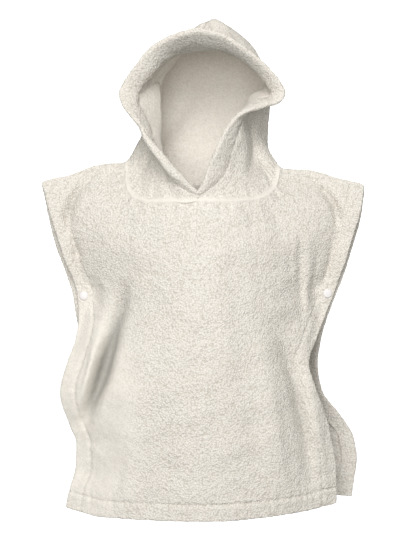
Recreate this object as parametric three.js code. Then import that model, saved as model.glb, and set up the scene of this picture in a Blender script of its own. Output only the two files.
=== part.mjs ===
// A hooded bath poncho for a small child, filled out as if worn.
// Front panel, back panel and a two-piece hood are sewn from terry cloth, and a snap at each side joins front to back.
// Millimetres. +Z is up, the front faces -Y, and left and right are those of somebody who looks at the front.
// The origin is the middle of the neck at the height of the shoulders, where the wearer holds the garment up.
import * as THREE from "three";

// Cloth
const CLOTH_THICK = 3;
const HEM_THICK = 4.6;
const SEAM_GAP = 0.3;
const SIDE_HEM = 20;
const BOTTOM_HEM = 22;
const HOOD_HEM = 29;
const EDGE_ROUNDING = 1.5; // how far from a free edge the wall starts to thin
const EDGE_SHARE = 0.62; // what is left of the wall at a free edge
const HEM_STEP = 2; // width of the slope from the doubled hem to the single cloth

// Snap fastener
const SNAP_PLAY = 2.2; // from the middle plane of a closed snap to the cloth on each side of it
const CAP_RADIUS = 6.2;
const CAP_HEIGHT = 2.1;
const SOCKET_RADIUS = 5;
const SOCKET_HOLE = 2.2;
const SOCKET_FACE = -0.3; // where the socket's open face stands, in front of the middle plane
const SOCKET_FLOOR = 1.3; // bottom of the socket's hole
const STUD_RADIUS = 4.4;
const SNAP_GRIP = 8; // half the height of the rows of cloth that a snap sits in
const SNAP_FLAT = 14; // radius round a snap in which the cloth is flat
const SNAP_FADE = 34; // radius at which the cloth has its own form again
const SNAPS = [
  { side: "left", x: -162.5, z: -175 },
  { side: "right", x: 170, z: -172 },
];

// How a panel rounds forward from the top of the shoulder
const BODY_FALL = 150; // height over which the cloth rounds over the body
const SLEEVE_FALL = 42; // the same out on the flat sleeve
const FALL_CURVE = 1.6;
const FALL_ROUND = 0.62;
const BULGE_CURVE = 1.8;
const BULGE_EDGE = 1.1;
const FOLD_SWELL = 1.2; // above 1 a fold starts and ends gently

// Top of the garment across the shoulders. Between the neck points it is the form inside the neckline.
const SHOULDERS = [
  { x: -224, z: -24 },
  { x: -218, z: -18.5 },
  { x: -205, z: -14.5 },
  { x: -187, z: -11 },
  { x: -163, z: -2 },
  { x: -145, z: 4 },
  { x: -127, z: 6 },
  { x: -107, z: 7 },
  { x: -80, z: 24 },
  { x: -50, z: 46 },
  { x: -3, z: 60 },
  { x: 45, z: 46 },
  { x: 75, z: 22 },
  { x: 101, z: 1 },
  { x: 120, z: -2 },
  { x: 143, z: -2.5 },
  { x: 163, z: -7 },
  { x: 182, z: -13 },
  { x: 200, z: -17.5 },
  { x: 216, z: -21.5 },
  { x: 224, z: -26 },
];

// The front panel by height: its two side edges, how far forward they and its middle stand,
// and how far out the rounded body reaches on each side
const FRONT = [
  { z: 60, left: -223, right: 222.5, leftY: 2, rightY: 2, middleY: 74, leftBody: 143, rightBody: 143 },
  { z: 4, left: -223, right: 222.5, leftY: 3, rightY: 3, middleY: 75, leftBody: 144, rightBody: 144 },
  { z: -18, left: -223, right: 222.5, leftY: 6, rightY: 6, middleY: 76, leftBody: 158, rightBody: 149 },
  { z: -33, left: -217, right: 220, leftY: 9, rightY: 9, middleY: 77, leftBody: 170, rightBody: 163 },
  { z: -48, left: -213, right: 217.5, leftY: 12, rightY: 12, middleY: 78, leftBody: 176, rightBody: 175 },
  { z: -64, left: -208.5, right: 214, leftY: 14, rightY: 14, middleY: 80, leftBody: 178, rightBody: 180 },
  { z: -105, left: -195.5, right: 201, leftY: 15, rightY: 15, middleY: 84, leftBody: 174, rightBody: 177 },
  { z: -130, left: -187.5, right: 194, leftY: 13, rightY: 13, middleY: 87, leftBody: 167, rightBody: 170 },
  { z: -146, left: -180, right: 188, leftY: 11, rightY: 11, middleY: 88, leftBody: 164, rightBody: 166 },
  { z: -175, left: -172, right: 178, leftY: 7, rightY: 7, middleY: 90, leftBody: 161, rightBody: 163 },
  { z: -205, left: -170, right: 166, leftY: 9, rightY: 10, middleY: 92, leftBody: 164, rightBody: 158 },
  { z: -232, left: -173.5, right: 155, leftY: 14, rightY: 18, middleY: 93, leftBody: 171, rightBody: 152 },
  { z: -264, left: -184, right: 144, leftY: 22, rightY: 28, middleY: 93.5, leftBody: 183, rightBody: 144 },
  { z: -306, left: -193.5, right: 156, leftY: 28, rightY: 32, middleY: 93, leftBody: 193, rightBody: 156 },
  { z: -350, left: -181, right: 170.5, leftY: 26, rightY: 30, middleY: 91, leftBody: 181, rightBody: 170 },
  { z: -375, left: -172, right: 176, leftY: 24, rightY: 28, middleY: 90, leftBody: 172, rightBody: 176 },
  { z: -404, left: -172.5, right: 180.5, leftY: 24, rightY: 26, middleY: 88, leftBody: 172, rightBody: 180 },
  { z: -440, left: -182, right: 181.5, leftY: 26, rightY: 24, middleY: 86, leftBody: 182, rightBody: 181 },
  { z: -468, left: -188, right: 181.5, leftY: 28, rightY: 24, middleY: 84, leftBody: 188, rightBody: 181 },
];

// The back panel by height, in the same columns
const BACK = [
  { z: 60, left: -223, right: 222.5, leftY: 2, rightY: 2, middleY: 80, leftBody: 150, rightBody: 150 },
  { z: 4, left: -223, right: 222.5, leftY: 3, rightY: 3, middleY: 80, leftBody: 150, rightBody: 150 },
  { z: -18, left: -223, right: 222.5, leftY: 6, rightY: 6, middleY: 82, leftBody: 160, rightBody: 158 },
  { z: -33, left: -219, right: 221.5, leftY: 9, rightY: 9, middleY: 83, leftBody: 172, rightBody: 168 },
  { z: -64, left: -213.5, right: 218, leftY: 14, rightY: 14, middleY: 85, leftBody: 180, rightBody: 182 },
  { z: -105, left: -203.5, right: 207, leftY: 15, rightY: 15, middleY: 87, leftBody: 178, rightBody: 182 },
  { z: -146, left: -188, right: 194, leftY: 11, rightY: 11, middleY: 88, leftBody: 168, rightBody: 172 },
  { z: -175, left: -178.5, right: 182, leftY: 7, rightY: 7, middleY: 88, leftBody: 164, rightBody: 166 },
  { z: -205, left: -174, right: 171, leftY: 10, rightY: 11, middleY: 88, leftBody: 166, rightBody: 162 },
  { z: -232, left: -168, right: 164, leftY: 18, rightY: 20, middleY: 88, leftBody: 166, rightBody: 160 },
  { z: -264, left: -160, right: 160.5, leftY: 28, rightY: 34, middleY: 90, leftBody: 160, rightBody: 160 },
  { z: -306, left: -158, right: 167, leftY: 34, rightY: 48, middleY: 92, leftBody: 158, rightBody: 166 },
  { z: -350, left: -161, right: 198, leftY: 34, rightY: 58, middleY: 94, leftBody: 161, rightBody: 190 },
  { z: -375, left: -163, right: 212, leftY: 32, rightY: 60, middleY: 95, leftBody: 163, rightBody: 203 },
  { z: -404, left: -165, right: 216.5, leftY: 32, rightY: 60, middleY: 95, leftBody: 165, rightBody: 208 },
  { z: -440, left: -167, right: 212, leftY: 34, rightY: 60, middleY: 95, leftBody: 167, rightBody: 205 },
  { z: -468, left: -168, right: 208, leftY: 34, rightY: 60, middleY: 94, leftBody: 168, rightBody: 202 },
];

// Folds that run down a panel through three places, each with its width to its left and to its right.
// A trough has a positive depth and a ridge a negative one.
const FRONT_FOLDS = [
  { x0: -139, z0: 6, x1: -172, z1: -36, x2: -178, z2: -112, depth: 6, toLeft: 8, toRight: 6 },
  { x0: -178, z0: -84, x1: -172, z1: -124, x2: -163, z2: -166, depth: 4, toLeft: 8, toRight: 6 },
  { x0: -101, z0: -146, x1: -124, z1: -246, x2: -168, z2: -366, depth: 28, toLeft: 16, toRight: 12 },
  { x0: -136, z0: -196, x1: -150, z1: -262, x2: -173, z2: -350, depth: -8, toLeft: 10, toRight: 9 },
  { x0: -110, z0: 6, x1: -121, z1: -6, x2: -136, z2: -22, depth: 4, toLeft: 6, toRight: 6 },
  { x0: -76, z0: -270, x1: -96, z1: -360, x2: -106, z2: -480, depth: -5, toLeft: 26, toRight: 20 },
  { x0: 140, z0: -4, x1: 178, z1: -52, x2: 176, z2: -120, depth: 5, toLeft: 6, toRight: 8 },
  { x0: 176, z0: -96, x1: 172, z1: -136, x2: 160, z2: -186, depth: 3, toLeft: 6, toRight: 8 },
  { x0: 131, z0: -80, x1: 130, z1: -142, x2: 134, z2: -216, depth: 5.5, toLeft: 5, toRight: 8 },
  { x0: 144, z0: -86, x1: 143, z1: -160, x2: 145, z2: -240, depth: -3.5, toLeft: 8, toRight: 8 },
  { x0: 92, z0: -195, x1: 120, z1: -290, x2: 146, z2: -455, depth: 11, toLeft: 9, toRight: 14 },
  { x0: 76, z0: -200, x1: 94, z1: -320, x2: 112, z2: -465, depth: -7, toLeft: 18, toRight: 12 },
  { x0: 133, z0: -205, x1: 146, z1: -300, x2: 164, z2: -450, depth: -6, toLeft: 11, toRight: 11 },
];
const BACK_FOLDS = [
  { x0: -143, z0: 4, x1: -172, z1: -40, x2: -176, z2: -112, depth: 6, toLeft: 8, toRight: 8 },
  { x0: 142, z0: -6, x1: 174, z1: -50, x2: 174, z2: -112, depth: 6, toLeft: 8, toRight: 8 },
  { x0: -106, z0: -130, x1: -124, z1: -240, x2: -140, z2: -430, depth: 14, toLeft: 16, toRight: 11 },
  { x0: -68, z0: -180, x1: -78, z1: -320, x2: -86, z2: -490, depth: -7, toLeft: 20, toRight: 20 },
  { x0: -22, z0: -60, x1: -28, z1: -240, x2: -30, z2: -490, depth: 6, toLeft: 20, toRight: 15 },
  { x0: 36, z0: -140, x1: 42, z1: -300, x2: 50, z2: -490, depth: -6, toLeft: 20, toRight: 20 },
  { x0: 100, z0: -120, x1: 120, z1: -250, x2: 130, z2: -460, depth: 14, toLeft: 11, toRight: 16 },
  { x0: 136, z0: -200, x1: 152, z1: -310, x2: 172, z2: -460, depth: -7, toLeft: 14, toRight: 14 },
];

// Height of the bottom edges across the garment
const FRONT_BOTTOM = [
  { x: -190, z: -458 },
  { x: -170, z: -464 },
  { x: -125, z: -470.5 },
  { x: 0, z: -471 },
  { x: 80, z: -467.5 },
  { x: 135, z: -463 },
  { x: 185, z: -455 },
];
const BACK_BOTTOM = [
  { x: -170, z: -458 },
  { x: -60, z: -461 },
  { x: 60, z: -461 },
  { x: 160, z: -457 },
  { x: 210, z: -459 },
];

// The neckline from the middle of the front (0) over the shoulder (SHOULDER_AT) to the nape (1).
// It lies on the panels, so the tables give only where it is in the front view.
const SHOULDER_AT = 0.5;
const NECK_LEFT = [
  { along: 0, x: -3.5, z: -48 },
  { along: 0.1, x: -37, z: -49.5 },
  { along: 0.2, x: -70, z: -48.5 },
  { along: 0.29, x: -93, z: -41 },
  { along: 0.37, x: -101, z: -29 },
  { along: 0.44, x: -104, z: -15 },
  { along: 0.5, x: -105, z: 6.9 },
  { along: 0.58, x: -101, z: -7 },
  { along: 0.68, x: -88, z: -14 },
  { along: 0.82, x: -50, z: -19 },
  { along: 1, x: -3.5, z: -20 },
];
const NECK_RIGHT = [
  { along: 0, x: -3.5, z: -48 },
  { along: 0.1, x: 33, z: -48.5 },
  { along: 0.2, x: 66, z: -46.5 },
  { along: 0.29, x: 88, z: -37 },
  { along: 0.37, x: 99, z: -26 },
  { along: 0.44, x: 102.5, z: -14 },
  { along: 0.5, x: 105, z: 0 },
  { along: 0.58, x: 100, z: -10 },
  { along: 0.68, x: 83, z: -15 },
  { along: 0.82, x: 44, z: -19 },
  { along: 1, x: -3.5, z: -20 },
];

// The rim of the hood, from the point at the throat (0) to the forehead (1)
const RIM_LEFT = [
  { along: 0, x: -7, y: -75, z: -37 },
  { along: 0.08, x: -22, y: -77, z: -20 },
  { along: 0.18, x: -40, y: -78, z: 1 },
  { along: 0.26, x: -58, y: -77, z: 22 },
  { along: 0.34, x: -76, y: -73, z: 41 },
  { along: 0.42, x: -96, y: -66, z: 61 },
  { along: 0.49, x: -110, y: -58, z: 81 },
  { along: 0.54, x: -113, y: -53, z: 94 },
  { along: 0.6, x: -107, y: -52, z: 110 },
  { along: 0.68, x: -91, y: -54, z: 133 },
  { along: 0.76, x: -73, y: -55, z: 155 },
  { along: 0.86, x: -48, y: -58, z: 171 },
  { along: 0.94, x: -25, y: -62, z: 179 },
  { along: 1, x: -8, y: -66, z: 182 },
];
const RIM_RIGHT = [
  { along: 0, x: -7, y: -75, z: -37 },
  { along: 0.05, x: 0.4, y: -76, z: -27 },
  { along: 0.11, x: 6, y: -77, z: -11 },
  { along: 0.17, x: 12, y: -77, z: 5 },
  { along: 0.22, x: 19, y: -77, z: 20 },
  { along: 0.27, x: 26, y: -76, z: 34 },
  { along: 0.33, x: 35, y: -73, z: 49 },
  { along: 0.38, x: 45, y: -69, z: 60 },
  { along: 0.43, x: 57, y: -66, z: 67 },
  { along: 0.48, x: 70, y: -62, z: 72 },
  { along: 0.53, x: 86, y: -57, z: 77 },
  { along: 0.57, x: 99, y: -54, z: 80 },
  { along: 0.6, x: 108, y: -52, z: 87 },
  { along: 0.63, x: 111, y: -51, z: 97 },
  { along: 0.67, x: 105, y: -51, z: 111 },
  { along: 0.74, x: 86, y: -53, z: 134 },
  { along: 0.84, x: 53, y: -58, z: 161 },
  { along: 0.94, x: 17, y: -64, z: 178 },
  { along: 1, x: -8, y: -66, z: 182 },
];

// How far the cloth behind the rim is drawn in towards the middle of the face, and how deep it is furthest in
const FLARE_LEFT = [
  { along: 0.34, reach: 0, deep: 20 },
  { along: 0.44, reach: 5, deep: 20 },
  { along: 0.54, reach: 17, deep: 20 },
  { along: 0.66, reach: 19, deep: 22 },
  { along: 0.8, reach: 22, deep: 32 },
  { along: 0.92, reach: 31, deep: 46 },
  { along: 1, reach: 36, deep: 50 },
];
const FLARE_RIGHT = [
  { along: 0.34, reach: 0, deep: 20 },
  { along: 0.46, reach: 3, deep: 20 },
  { along: 0.56, reach: 8, deep: 20 },
  { along: 0.66, reach: 11, deep: 20 },
  { along: 0.8, reach: 14, deep: 27 },
  { along: 0.92, reach: 27, deep: 44 },
  { along: 1, reach: 36, deep: 50 },
];
const FACE_MIDDLE = { x: 0, z: 75 };
const FLARE_BACK = 75; // depth over which the cloth behind the flare opens out again

// The hood's centre seam from the rim (0) over the crown and its corner to the nape (1)
const HOOD_SEAM = [
  { along: 0, x: -8, y: -66, z: 182 },
  { along: 0.1, x: -4, y: -40, z: 190 },
  { along: 0.22, x: 4, y: -8, z: 204 },
  { along: 0.36, x: 15, y: 28, z: 209 },
  { along: 0.45, x: 19, y: 54, z: 206 },
  { along: 0.55, x: 17, y: 76, z: 184 },
  { along: 0.66, x: 11, y: 90, z: 146 },
  { along: 0.78, x: 5, y: 95, z: 98 },
  { along: 0.88, x: 1, y: 92, z: 52 },
  { along: 0.95, x: -2, y: 80, z: 12 },
  { along: 1, x: -3.5, y: 68, z: -20 },
];
const HOOD_AXIS = { x: 4, y: 15 };
const HOOD_BACK_FULLNESS = 20; // how far the back of the hood swells
const HOOD_FALL_LOW = 1.3; // above 1 the sides fall in most below their middle
const HOOD_SIDE_FALL = 30; // how far its sides fall in below the cheeks
const CHEEK_FULL = 0.12; // share of the way round the rim up to which the cheeks don't fall in
const CHEEK_FADE = 0.3; // share of the way over which they start to

const FOLD_FADE = 0.12; // share of the way over which the hood's folds die out at its edges

// Folds of the hood. They run across it at a share of the way from the rim to the neck.
const HOOD_FOLDS = {
  left: [
    { from: 0.2, to: 0.62, share0: 0.4, share1: 0.48, depth: 9, width: 0.13 },
    { from: 0.56, to: 0.98, share0: 0.42, share1: 0.2, depth: 16, width: 0.12 },
    { from: 0.12, to: 0.42, share0: 0.62, share1: 0.86, depth: 3, width: 0.1 },
    { from: 0.55, to: 0.95, share0: 0.9, share1: 0.76, depth: 8, width: 0.07 },
  ],
  right: [
    { from: 0.3, to: 0.8, share0: 0.4, share1: 0.46, depth: 8, width: 0.13 },
    { from: 0.2, to: 0.5, share0: 0.7, share1: 0.9, depth: 4, width: 0.08 },
    { from: 0.6, to: 0.95, share0: 0.92, share1: 0.8, depth: 7, width: 0.07 },
    { from: 0.72, to: 1.0, share0: 0.34, share1: 0.24, depth: 9, width: 0.09 },
  ],
};

// Mesh density
const EDGE_COLUMNS = [0, EDGE_ROUNDING, SIDE_HEM, SIDE_HEM + HEM_STEP];
const SHOULDER_CELLS = 6; // from the side hem to the neck
const NECK_FRONT_CELLS = 12; // from the middle of the front to the shoulder
const NECK_BACK_CELLS = 8; // from the shoulder to the nape
const TOP_ROWS = [0, 1.5, 5, 11, 20, 32];
const SIDE_CROWDING = 0.75; // below 1 the columns stand closer at the sides, where the folds are
const UPPER_CELLS = 7; // from the top rows down to the snaps
const LOWER_CELLS = 19; // from the snaps down to the bottom hem
const BOTTOM_ROWS = [BOTTOM_HEM + HEM_STEP, BOTTOM_HEM, EDGE_ROUNDING, 0];
const RIM_ROWS = [0, EDGE_ROUNDING, 8, 15, 22, HOOD_HEM, HOOD_HEM + HEM_STEP];
const HOOD_CELLS = 16; // from the rim's hem to the neck
const CAP_SIDES = 20;

// Seams
const MITRE_TURNS = 40; // rounds in which a mitre settles
const MITRE_LONGEST = 1.5; // longest mitre in wall thicknesses
const ROW_STEP = 0.4; // least height between two rows of an inner face

// Steps in which slopes are measured
const PROBE = 0.75;
const PROBE_SHARE = 0.004;

// Colours
const TERRY = 0xebe4d9;
const SNAP_PLASTIC = 0xf3eeed;

// Maths helpers
const clamp01 = (v) => Math.min(1, Math.max(0, v));
const smooth = (v) => {
  const t = clamp01(v);
  return t * t * (3 - 2 * t);
};
const mix = (a, b, t) => a + (b - a) * t;
const spread = (from, to, cells) => Array.from({ length: cells + 1 }, (_, i) => mix(from, to, i / cells));

// One column of a table as a smooth function of another, with no overshoot between its rows
function column(rows, key, name) {
  const order = [...rows].sort((a, b) => a[key] - b[key]);
  const k = order.map((r) => r[key]);
  const v = order.map((r) => r[name]);
  const steps = k.slice(1).map((x, i) => x - k[i]);
  const slopes = steps.map((h, i) => (v[i + 1] - v[i]) / h);
  const tangent = v.map((_, i) => {
    if (i === 0) return slopes[0];
    if (i === v.length - 1) return slopes[i - 1];
    const [a, b] = [slopes[i - 1], slopes[i]];
    if (a * b <= 0) return 0;
    const [wa, wb] = [2 * steps[i] + steps[i - 1], steps[i] + 2 * steps[i - 1]];
    return (wa + wb) / (wa / a + wb / b);
  });
  return (at) => {
    const x = Math.min(k[k.length - 1], Math.max(k[0], at));
    let i = 0;
    while (i < steps.length - 1 && x > k[i + 1]) i += 1;
    const h = steps[i];
    const t = (x - k[i]) / h;
    const [t2, t3] = [t * t, t * t * t];
    return (
      (2 * t3 - 3 * t2 + 1) * v[i] +
      (t3 - 2 * t2 + t) * h * tangent[i] +
      (3 * t2 - 2 * t3) * v[i + 1] +
      (t3 - t2) * h * tangent[i + 1]
    );
  };
}

// Every other column of a table as a function of one of them
function columns(rows, key) {
  const names = Object.keys(rows[0]).filter((name) => name !== key);
  return Object.fromEntries(names.map((name) => [name, column(rows, key, name)]));
}

const shoulderTop = column(SHOULDERS, "x", "z");

// How deep a fold is at a place on a panel
function foldDepth(fold, x, z) {
  const t = (fold.z0 - z) / (fold.z0 - fold.z2);
  if (t <= 0 || t >= 1) return 0;
  const middle = (fold.z0 - fold.z1) / (fold.z0 - fold.z2);
  const bow = (fold.x1 - mix(fold.x0, fold.x2, middle)) / (middle * (1 - middle));
  const centre = mix(fold.x0, fold.x2, t) + bow * t * (1 - t);
  const across = (x - centre) / (x < centre ? fold.toLeft : fold.toRight);
  return fold.depth * Math.sin(Math.PI * t) ** FOLD_SWELL * Math.exp(-across * across);
}

// A panel is a height field: how far forward or back the cloth stands at a place in the front view.
function panelForm(rows, folds, facing) {
  const at = columns(rows, "z");
  const y = (x, z) => {
    const left = x < 0;
    const edge = left ? at.leftY(z) : at.rightY(z);
    const body = left ? at.leftBody(z) : at.rightBody(z);
    const share = Math.min(1, Math.abs(x) / body);
    const bulge = (1 - share ** BULGE_CURVE) ** BULGE_EDGE;
    const fall = mix(SLEEVE_FALL, BODY_FALL, bulge ** 0.6);
    const down = clamp01((shoulderTop(x) - z) / fall);
    const rounding = (1 - (1 - down) ** FALL_CURVE) ** FALL_ROUND;
    let out = mix(edge, at.middleY(z), bulge) * rounding;
    for (const fold of folds) out -= foldDepth(fold, x, z);
    out = Math.max(out, 0);
    for (const snap of SNAPS) {
      const near = Math.hypot(x - snap.x, z - snap.z);
      const flat = 1 - smooth((near - SNAP_FLAT) / (SNAP_FADE - SNAP_FLAT));
      out = mix(out, SNAP_PLAY + HEM_THICK, flat);
    }
    return facing * out;
  };
  const normal = (x, z) => {
    const slopeX = (y(x + PROBE, z) - y(x - PROBE, z)) / (2 * PROBE);
    const slopeZ = (y(x, z) - y(x, z - 2 * PROBE)) / (2 * PROBE);
    return new THREE.Vector3(-slopeX, 1, -slopeZ).normalize().multiplyScalar(facing);
  };
  return { at, y, normal, facing };
}

const frontForm = panelForm(FRONT, FRONT_FOLDS, -1);
const backForm = panelForm(BACK, BACK_FOLDS, 1);

const neckAt = {
  left: columns(NECK_LEFT, "along"),
  right: columns(NECK_RIGHT, "along"),
};

// A point of the neckline, on the front panel up to the shoulder and on the back panel past it
function neckPoint(side, along) {
  const x = neckAt[side].x(along);
  if (Math.abs(along - SHOULDER_AT) < 1e-6) return new THREE.Vector3(x, 0, shoulderTop(x));
  const z = neckAt[side].z(along);
  const form = along < SHOULDER_AT ? frontForm : backForm;
  return new THREE.Vector3(x, form.y(x, z), z);
}

// The top edge of a panel from its left corner to its right one: shoulder, neckline, shoulder
function topEdge(form) {
  const front = form.facing < 0;
  const middleAlong = front ? 0 : 1;
  const cells = front ? NECK_FRONT_CELLS : NECK_BACK_CELLS;
  const alongs = spread(SHOULDER_AT, middleAlong, cells);
  const neck = [
    ...alongs.map((along) => neckPoint("left", along)),
    ...alongs.reverse().slice(1).map((along) => neckPoint("right", along)),
  ];
  const shoulder = (outer, neckX, sign) => {
    const hems = EDGE_COLUMNS.map((inset) => outer + sign * inset);
    const xs = [...hems, ...spread(hems[hems.length - 1], neckX, SHOULDER_CELLS).slice(1, -1)];
    return xs.map((x) => new THREE.Vector3(x, 0, shoulderTop(x)));
  };
  const left = shoulder(form.at.left(0), neck[0].x, 1);
  const right = shoulder(form.at.right(0), neck[neck.length - 1].x, -1);
  return [...left, ...neck, ...right.reverse()];
}

// The panel's outer points, a row from left to right for each step down
function panelGrid(form, bottom) {
  const top = topEdge(form);
  const bottomZ = column(bottom, "x", "z");
  const bottomLevel = Math.min(...bottom.map((row) => row.z));
  const last = top.length - 1;
  const hem = SIDE_HEM + HEM_STEP;
  const snapZ = (x) => mix(SNAPS[0].z, SNAPS[1].z, (x - SNAPS[0].x) / (SNAPS[1].x - SNAPS[0].x));
  const rowsDown = top.map((start, c) => {
    const low = bottomZ(mix(form.at.left(bottomLevel), form.at.right(bottomLevel), c / last));
    const snap = snapZ(start.x);
    return [
      ...TOP_ROWS.map((down) => start.z - down),
      ...spread(start.z - TOP_ROWS[TOP_ROWS.length - 1], snap + SNAP_GRIP, UPPER_CELLS).slice(1),
      ...spread(snap - SNAP_GRIP, low + BOTTOM_ROWS[0], LOWER_CELLS).slice(0, -1),
      ...BOTTOM_ROWS.map((up) => low + up),
    ];
  });
  return rowsDown[0].map((_, r) =>
    top.map((start, c) => {
      const heights = rowsDown[c];
      const z = heights[r];
      const low = heights[heights.length - 1];
      const [left, right] = [form.at.left(z), form.at.right(z)];
      const [topLeft, topRight] = [form.at.left(start.z), form.at.right(start.z)];
      const above = (start.x - topLeft - hem) / (topRight - topLeft - 2 * hem);
      const fromMiddle = (2 * (c - EDGE_COLUMNS.length + 1)) / (last - 2 * EDGE_COLUMNS.length + 2) - 1;
      const evenly = 0.5 + 0.5 * Math.sign(fromMiddle) * Math.abs(fromMiddle) ** SIDE_CROWDING;
      const down = smooth((start.z - z) / (0.55 * (start.z - low)));
      let x = mix(left + hem, right - hem, mix(above, evenly, down));
      if (c < EDGE_COLUMNS.length) x = left + EDGE_COLUMNS[c];
      if (c > last - EDGE_COLUMNS.length) x = right - EDGE_COLUMNS[last - c];
      const point = r === 0 ? start.clone() : new THREE.Vector3(x, form.y(x, z), z);
      const normal = form.normal(point.x, z);
      const side = Math.min(c, last - c);
      const hemmed = Math.min(side < EDGE_COLUMNS.length ? EDGE_COLUMNS[side] : Infinity, z - low);
      return { point, normal, edge: hemmed, hem: side < EDGE_COLUMNS.length - 1 ? SIDE_HEM : BOTTOM_HEM };
    }),
  );
}

// Length of the cloth from the rim to the neck
function pathLength(form, u) {
  const path = spread(0, 1, 40).map((v) => form(u, v));
  return path.slice(1).reduce((sum, p, i) => sum + p.distanceTo(path[i]), 0);
}

// A hood half spans its rim, its half of the neckline, the short edge at the throat and the centre seam.
function hoodForm(side) {
  const rim = columns(side === "left" ? RIM_LEFT : RIM_RIGHT, "along");
  const seam = columns(HOOD_SEAM, "along");
  const at = (table, along) => new THREE.Vector3(table.x(along), table.y(along), table.z(along));
  const [browRim, napeSeam] = [at(seam, 0), at(seam, 1)];
  const sheet = (u, v) => {
    const point = new THREE.Vector3();
    point.addScaledVector(at(rim, u), 1 - v);
    point.addScaledVector(neckPoint(side, u), v);
    point.addScaledVector(at(seam, v), u);
    point.addScaledVector(browRim, -u * (1 - v));
    point.addScaledVector(napeSeam, -u * v);
    const away = new THREE.Vector3(point.x - HOOD_AXIS.x, point.y - HOOD_AXIS.y, 0).normalize();
    const behind = Math.max(0, away.y);
    let out = HOOD_BACK_FULLNESS * behind * Math.sin(Math.PI * u) * Math.sin(Math.PI * v);
    const fall = HOOD_SIDE_FALL * away.x ** 2 * (1 - behind) * smooth((u - CHEEK_FULL) / CHEEK_FADE);
    out -= fall * Math.sin(Math.PI * u) * Math.sin(Math.PI * v ** HOOD_FALL_LOW) ** 0.8;
    const fromEdges = smooth(v / FOLD_FADE) * smooth((1 - v) / FOLD_FADE);
    for (const fold of HOOD_FOLDS[side]) {
      const t = clamp01((u - fold.from) / (fold.to - fold.from));
      const across = (v - mix(fold.share0, fold.share1, t)) / fold.width;
      out -= fold.depth * fromEdges * Math.sin(Math.PI * t) ** 0.8 * Math.exp(-across * across);
    }
    return point.addScaledVector(away, out);
  };
  const flare = columns(side === "left" ? FLARE_LEFT : FLARE_RIGHT, "along");
  const places = spread(0, 1, 60);
  const lengths = places.map((u) => ({ u, length: pathLength(sheet, u) }));
  const lengthAt = column(lengths, "u", "length");
  return (u, v) => {
    const point = sheet(u, v);
    const inset = v * lengthAt(u);
    const deep = flare.deep(u);
    const reach = flare.reach(u) * Math.sin(0.5 * Math.PI * clamp01(inset / deep));
    const drawn = reach * (1 - smooth((inset - deep - 6) / FLARE_BACK));
    const outward = new THREE.Vector3(point.x - FACE_MIDDLE.x, 0, point.z - FACE_MIDDLE.z).normalize();
    return point.addScaledVector(outward, -drawn);
  };
}

// The hood's outer points, a row from the throat to the centre seam for each step from the rim to the neck
function hoodGrid(side, turn) {
  const form = hoodForm(side);
  const normal = (u, v) => {
    const across = form(Math.min(1, u + PROBE_SHARE), v).sub(form(Math.max(0, u - PROBE_SHARE), v));
    const down = form(u, Math.min(1, v + PROBE_SHARE)).sub(form(u, Math.max(0, v - PROBE_SHARE)));
    return across.cross(down).normalize().multiplyScalar(turn);
  };
  const us = [
    ...spread(0, SHOULDER_AT, NECK_FRONT_CELLS),
    ...spread(SHOULDER_AT, 1, NECK_BACK_CELLS).slice(1),
  ];
  const lengths = us.map((u) => pathLength(form, u));
  const lastRim = RIM_ROWS[RIM_ROWS.length - 1];
  const shares = us.map((_, c) => {
    const scale = Math.min(1, (0.5 * lengths[c]) / lastRim);
    const rows = RIM_ROWS.map((inset) => (inset * scale) / lengths[c]);
    return [...rows, ...spread(rows[rows.length - 1], 1, HOOD_CELLS).slice(1)];
  });
  return shares[0].map((_, r) =>
    us.map((u, c) => ({
      point: form(u, shares[c][r]),
      normal: normal(u, shares[c][r]),
      edge: r < RIM_ROWS.length ? RIM_ROWS[r] : Infinity,
      hem: HOOD_HEM,
    })),
  );
}

const wallThickness = ({ edge, hem }) => {
  if (edge < EDGE_ROUNDING / 2) return HEM_THICK * EDGE_SHARE;
  return edge <= hem ? HEM_THICK : CLOTH_THICK;
};

// Normals of the pieces that meet at a place on their edges
const placeName = (p) => [p.x, p.y, p.z].map((v) => Math.round(v * 100)).join();
const metNormals = new Map();

function noteEdges(grid) {
  grid.forEach((row, r) =>
    row.forEach(({ point, normal }, c) => {
      if (r > 0 && r < grid.length - 1 && c > 0 && c < row.length - 1) return;
      const name = placeName(point);
      metNormals.set(name, [...(metNormals.get(name) ?? []), normal]);
    }),
  );
}

// The step from an outer point to the inner face. At a seam it is one thickness inside every piece that meets there.
function inwardStep(cell) {
  const thick = wallThickness(cell);
  const met = metNormals.get(placeName(cell.point)) ?? [cell.normal];
  const step = new THREE.Vector3();
  for (const n of met) step.add(n);
  step.normalize().multiplyScalar(-thick);
  for (let turn = 0; turn < MITRE_TURNS; turn += 1)
    for (const n of met) step.addScaledVector(n, -0.5 * (thick + step.dot(n)));
  return step.clampLength(thick, MITRE_LONGEST * thick);
}

// The edges of a grid that are sewn: for each place, the cell, its neighbours along the seam and one further in
const SEAM_EDGES = {
  top: (grid) => grid[0].map((_, c) => [[0, c], [0, c - 1], [0, c + 1], [1, c]]),
  bottom: (grid) => {
    const r = grid.length - 1;
    return grid[0].map((_, c) => [[r, c], [r, c - 1], [r, c + 1], [r - 1, c]]);
  },
  first: (grid) => grid.map((_, r) => [[r, 0], [r - 1, 0], [r + 1, 0], [r, 1]]),
  last: (grid) => {
    const c = grid[0].length - 1;
    return grid.map((_, r) => [[r, c], [r - 1, c], [r + 1, c], [r, c - 1]]);
  },
};

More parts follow.
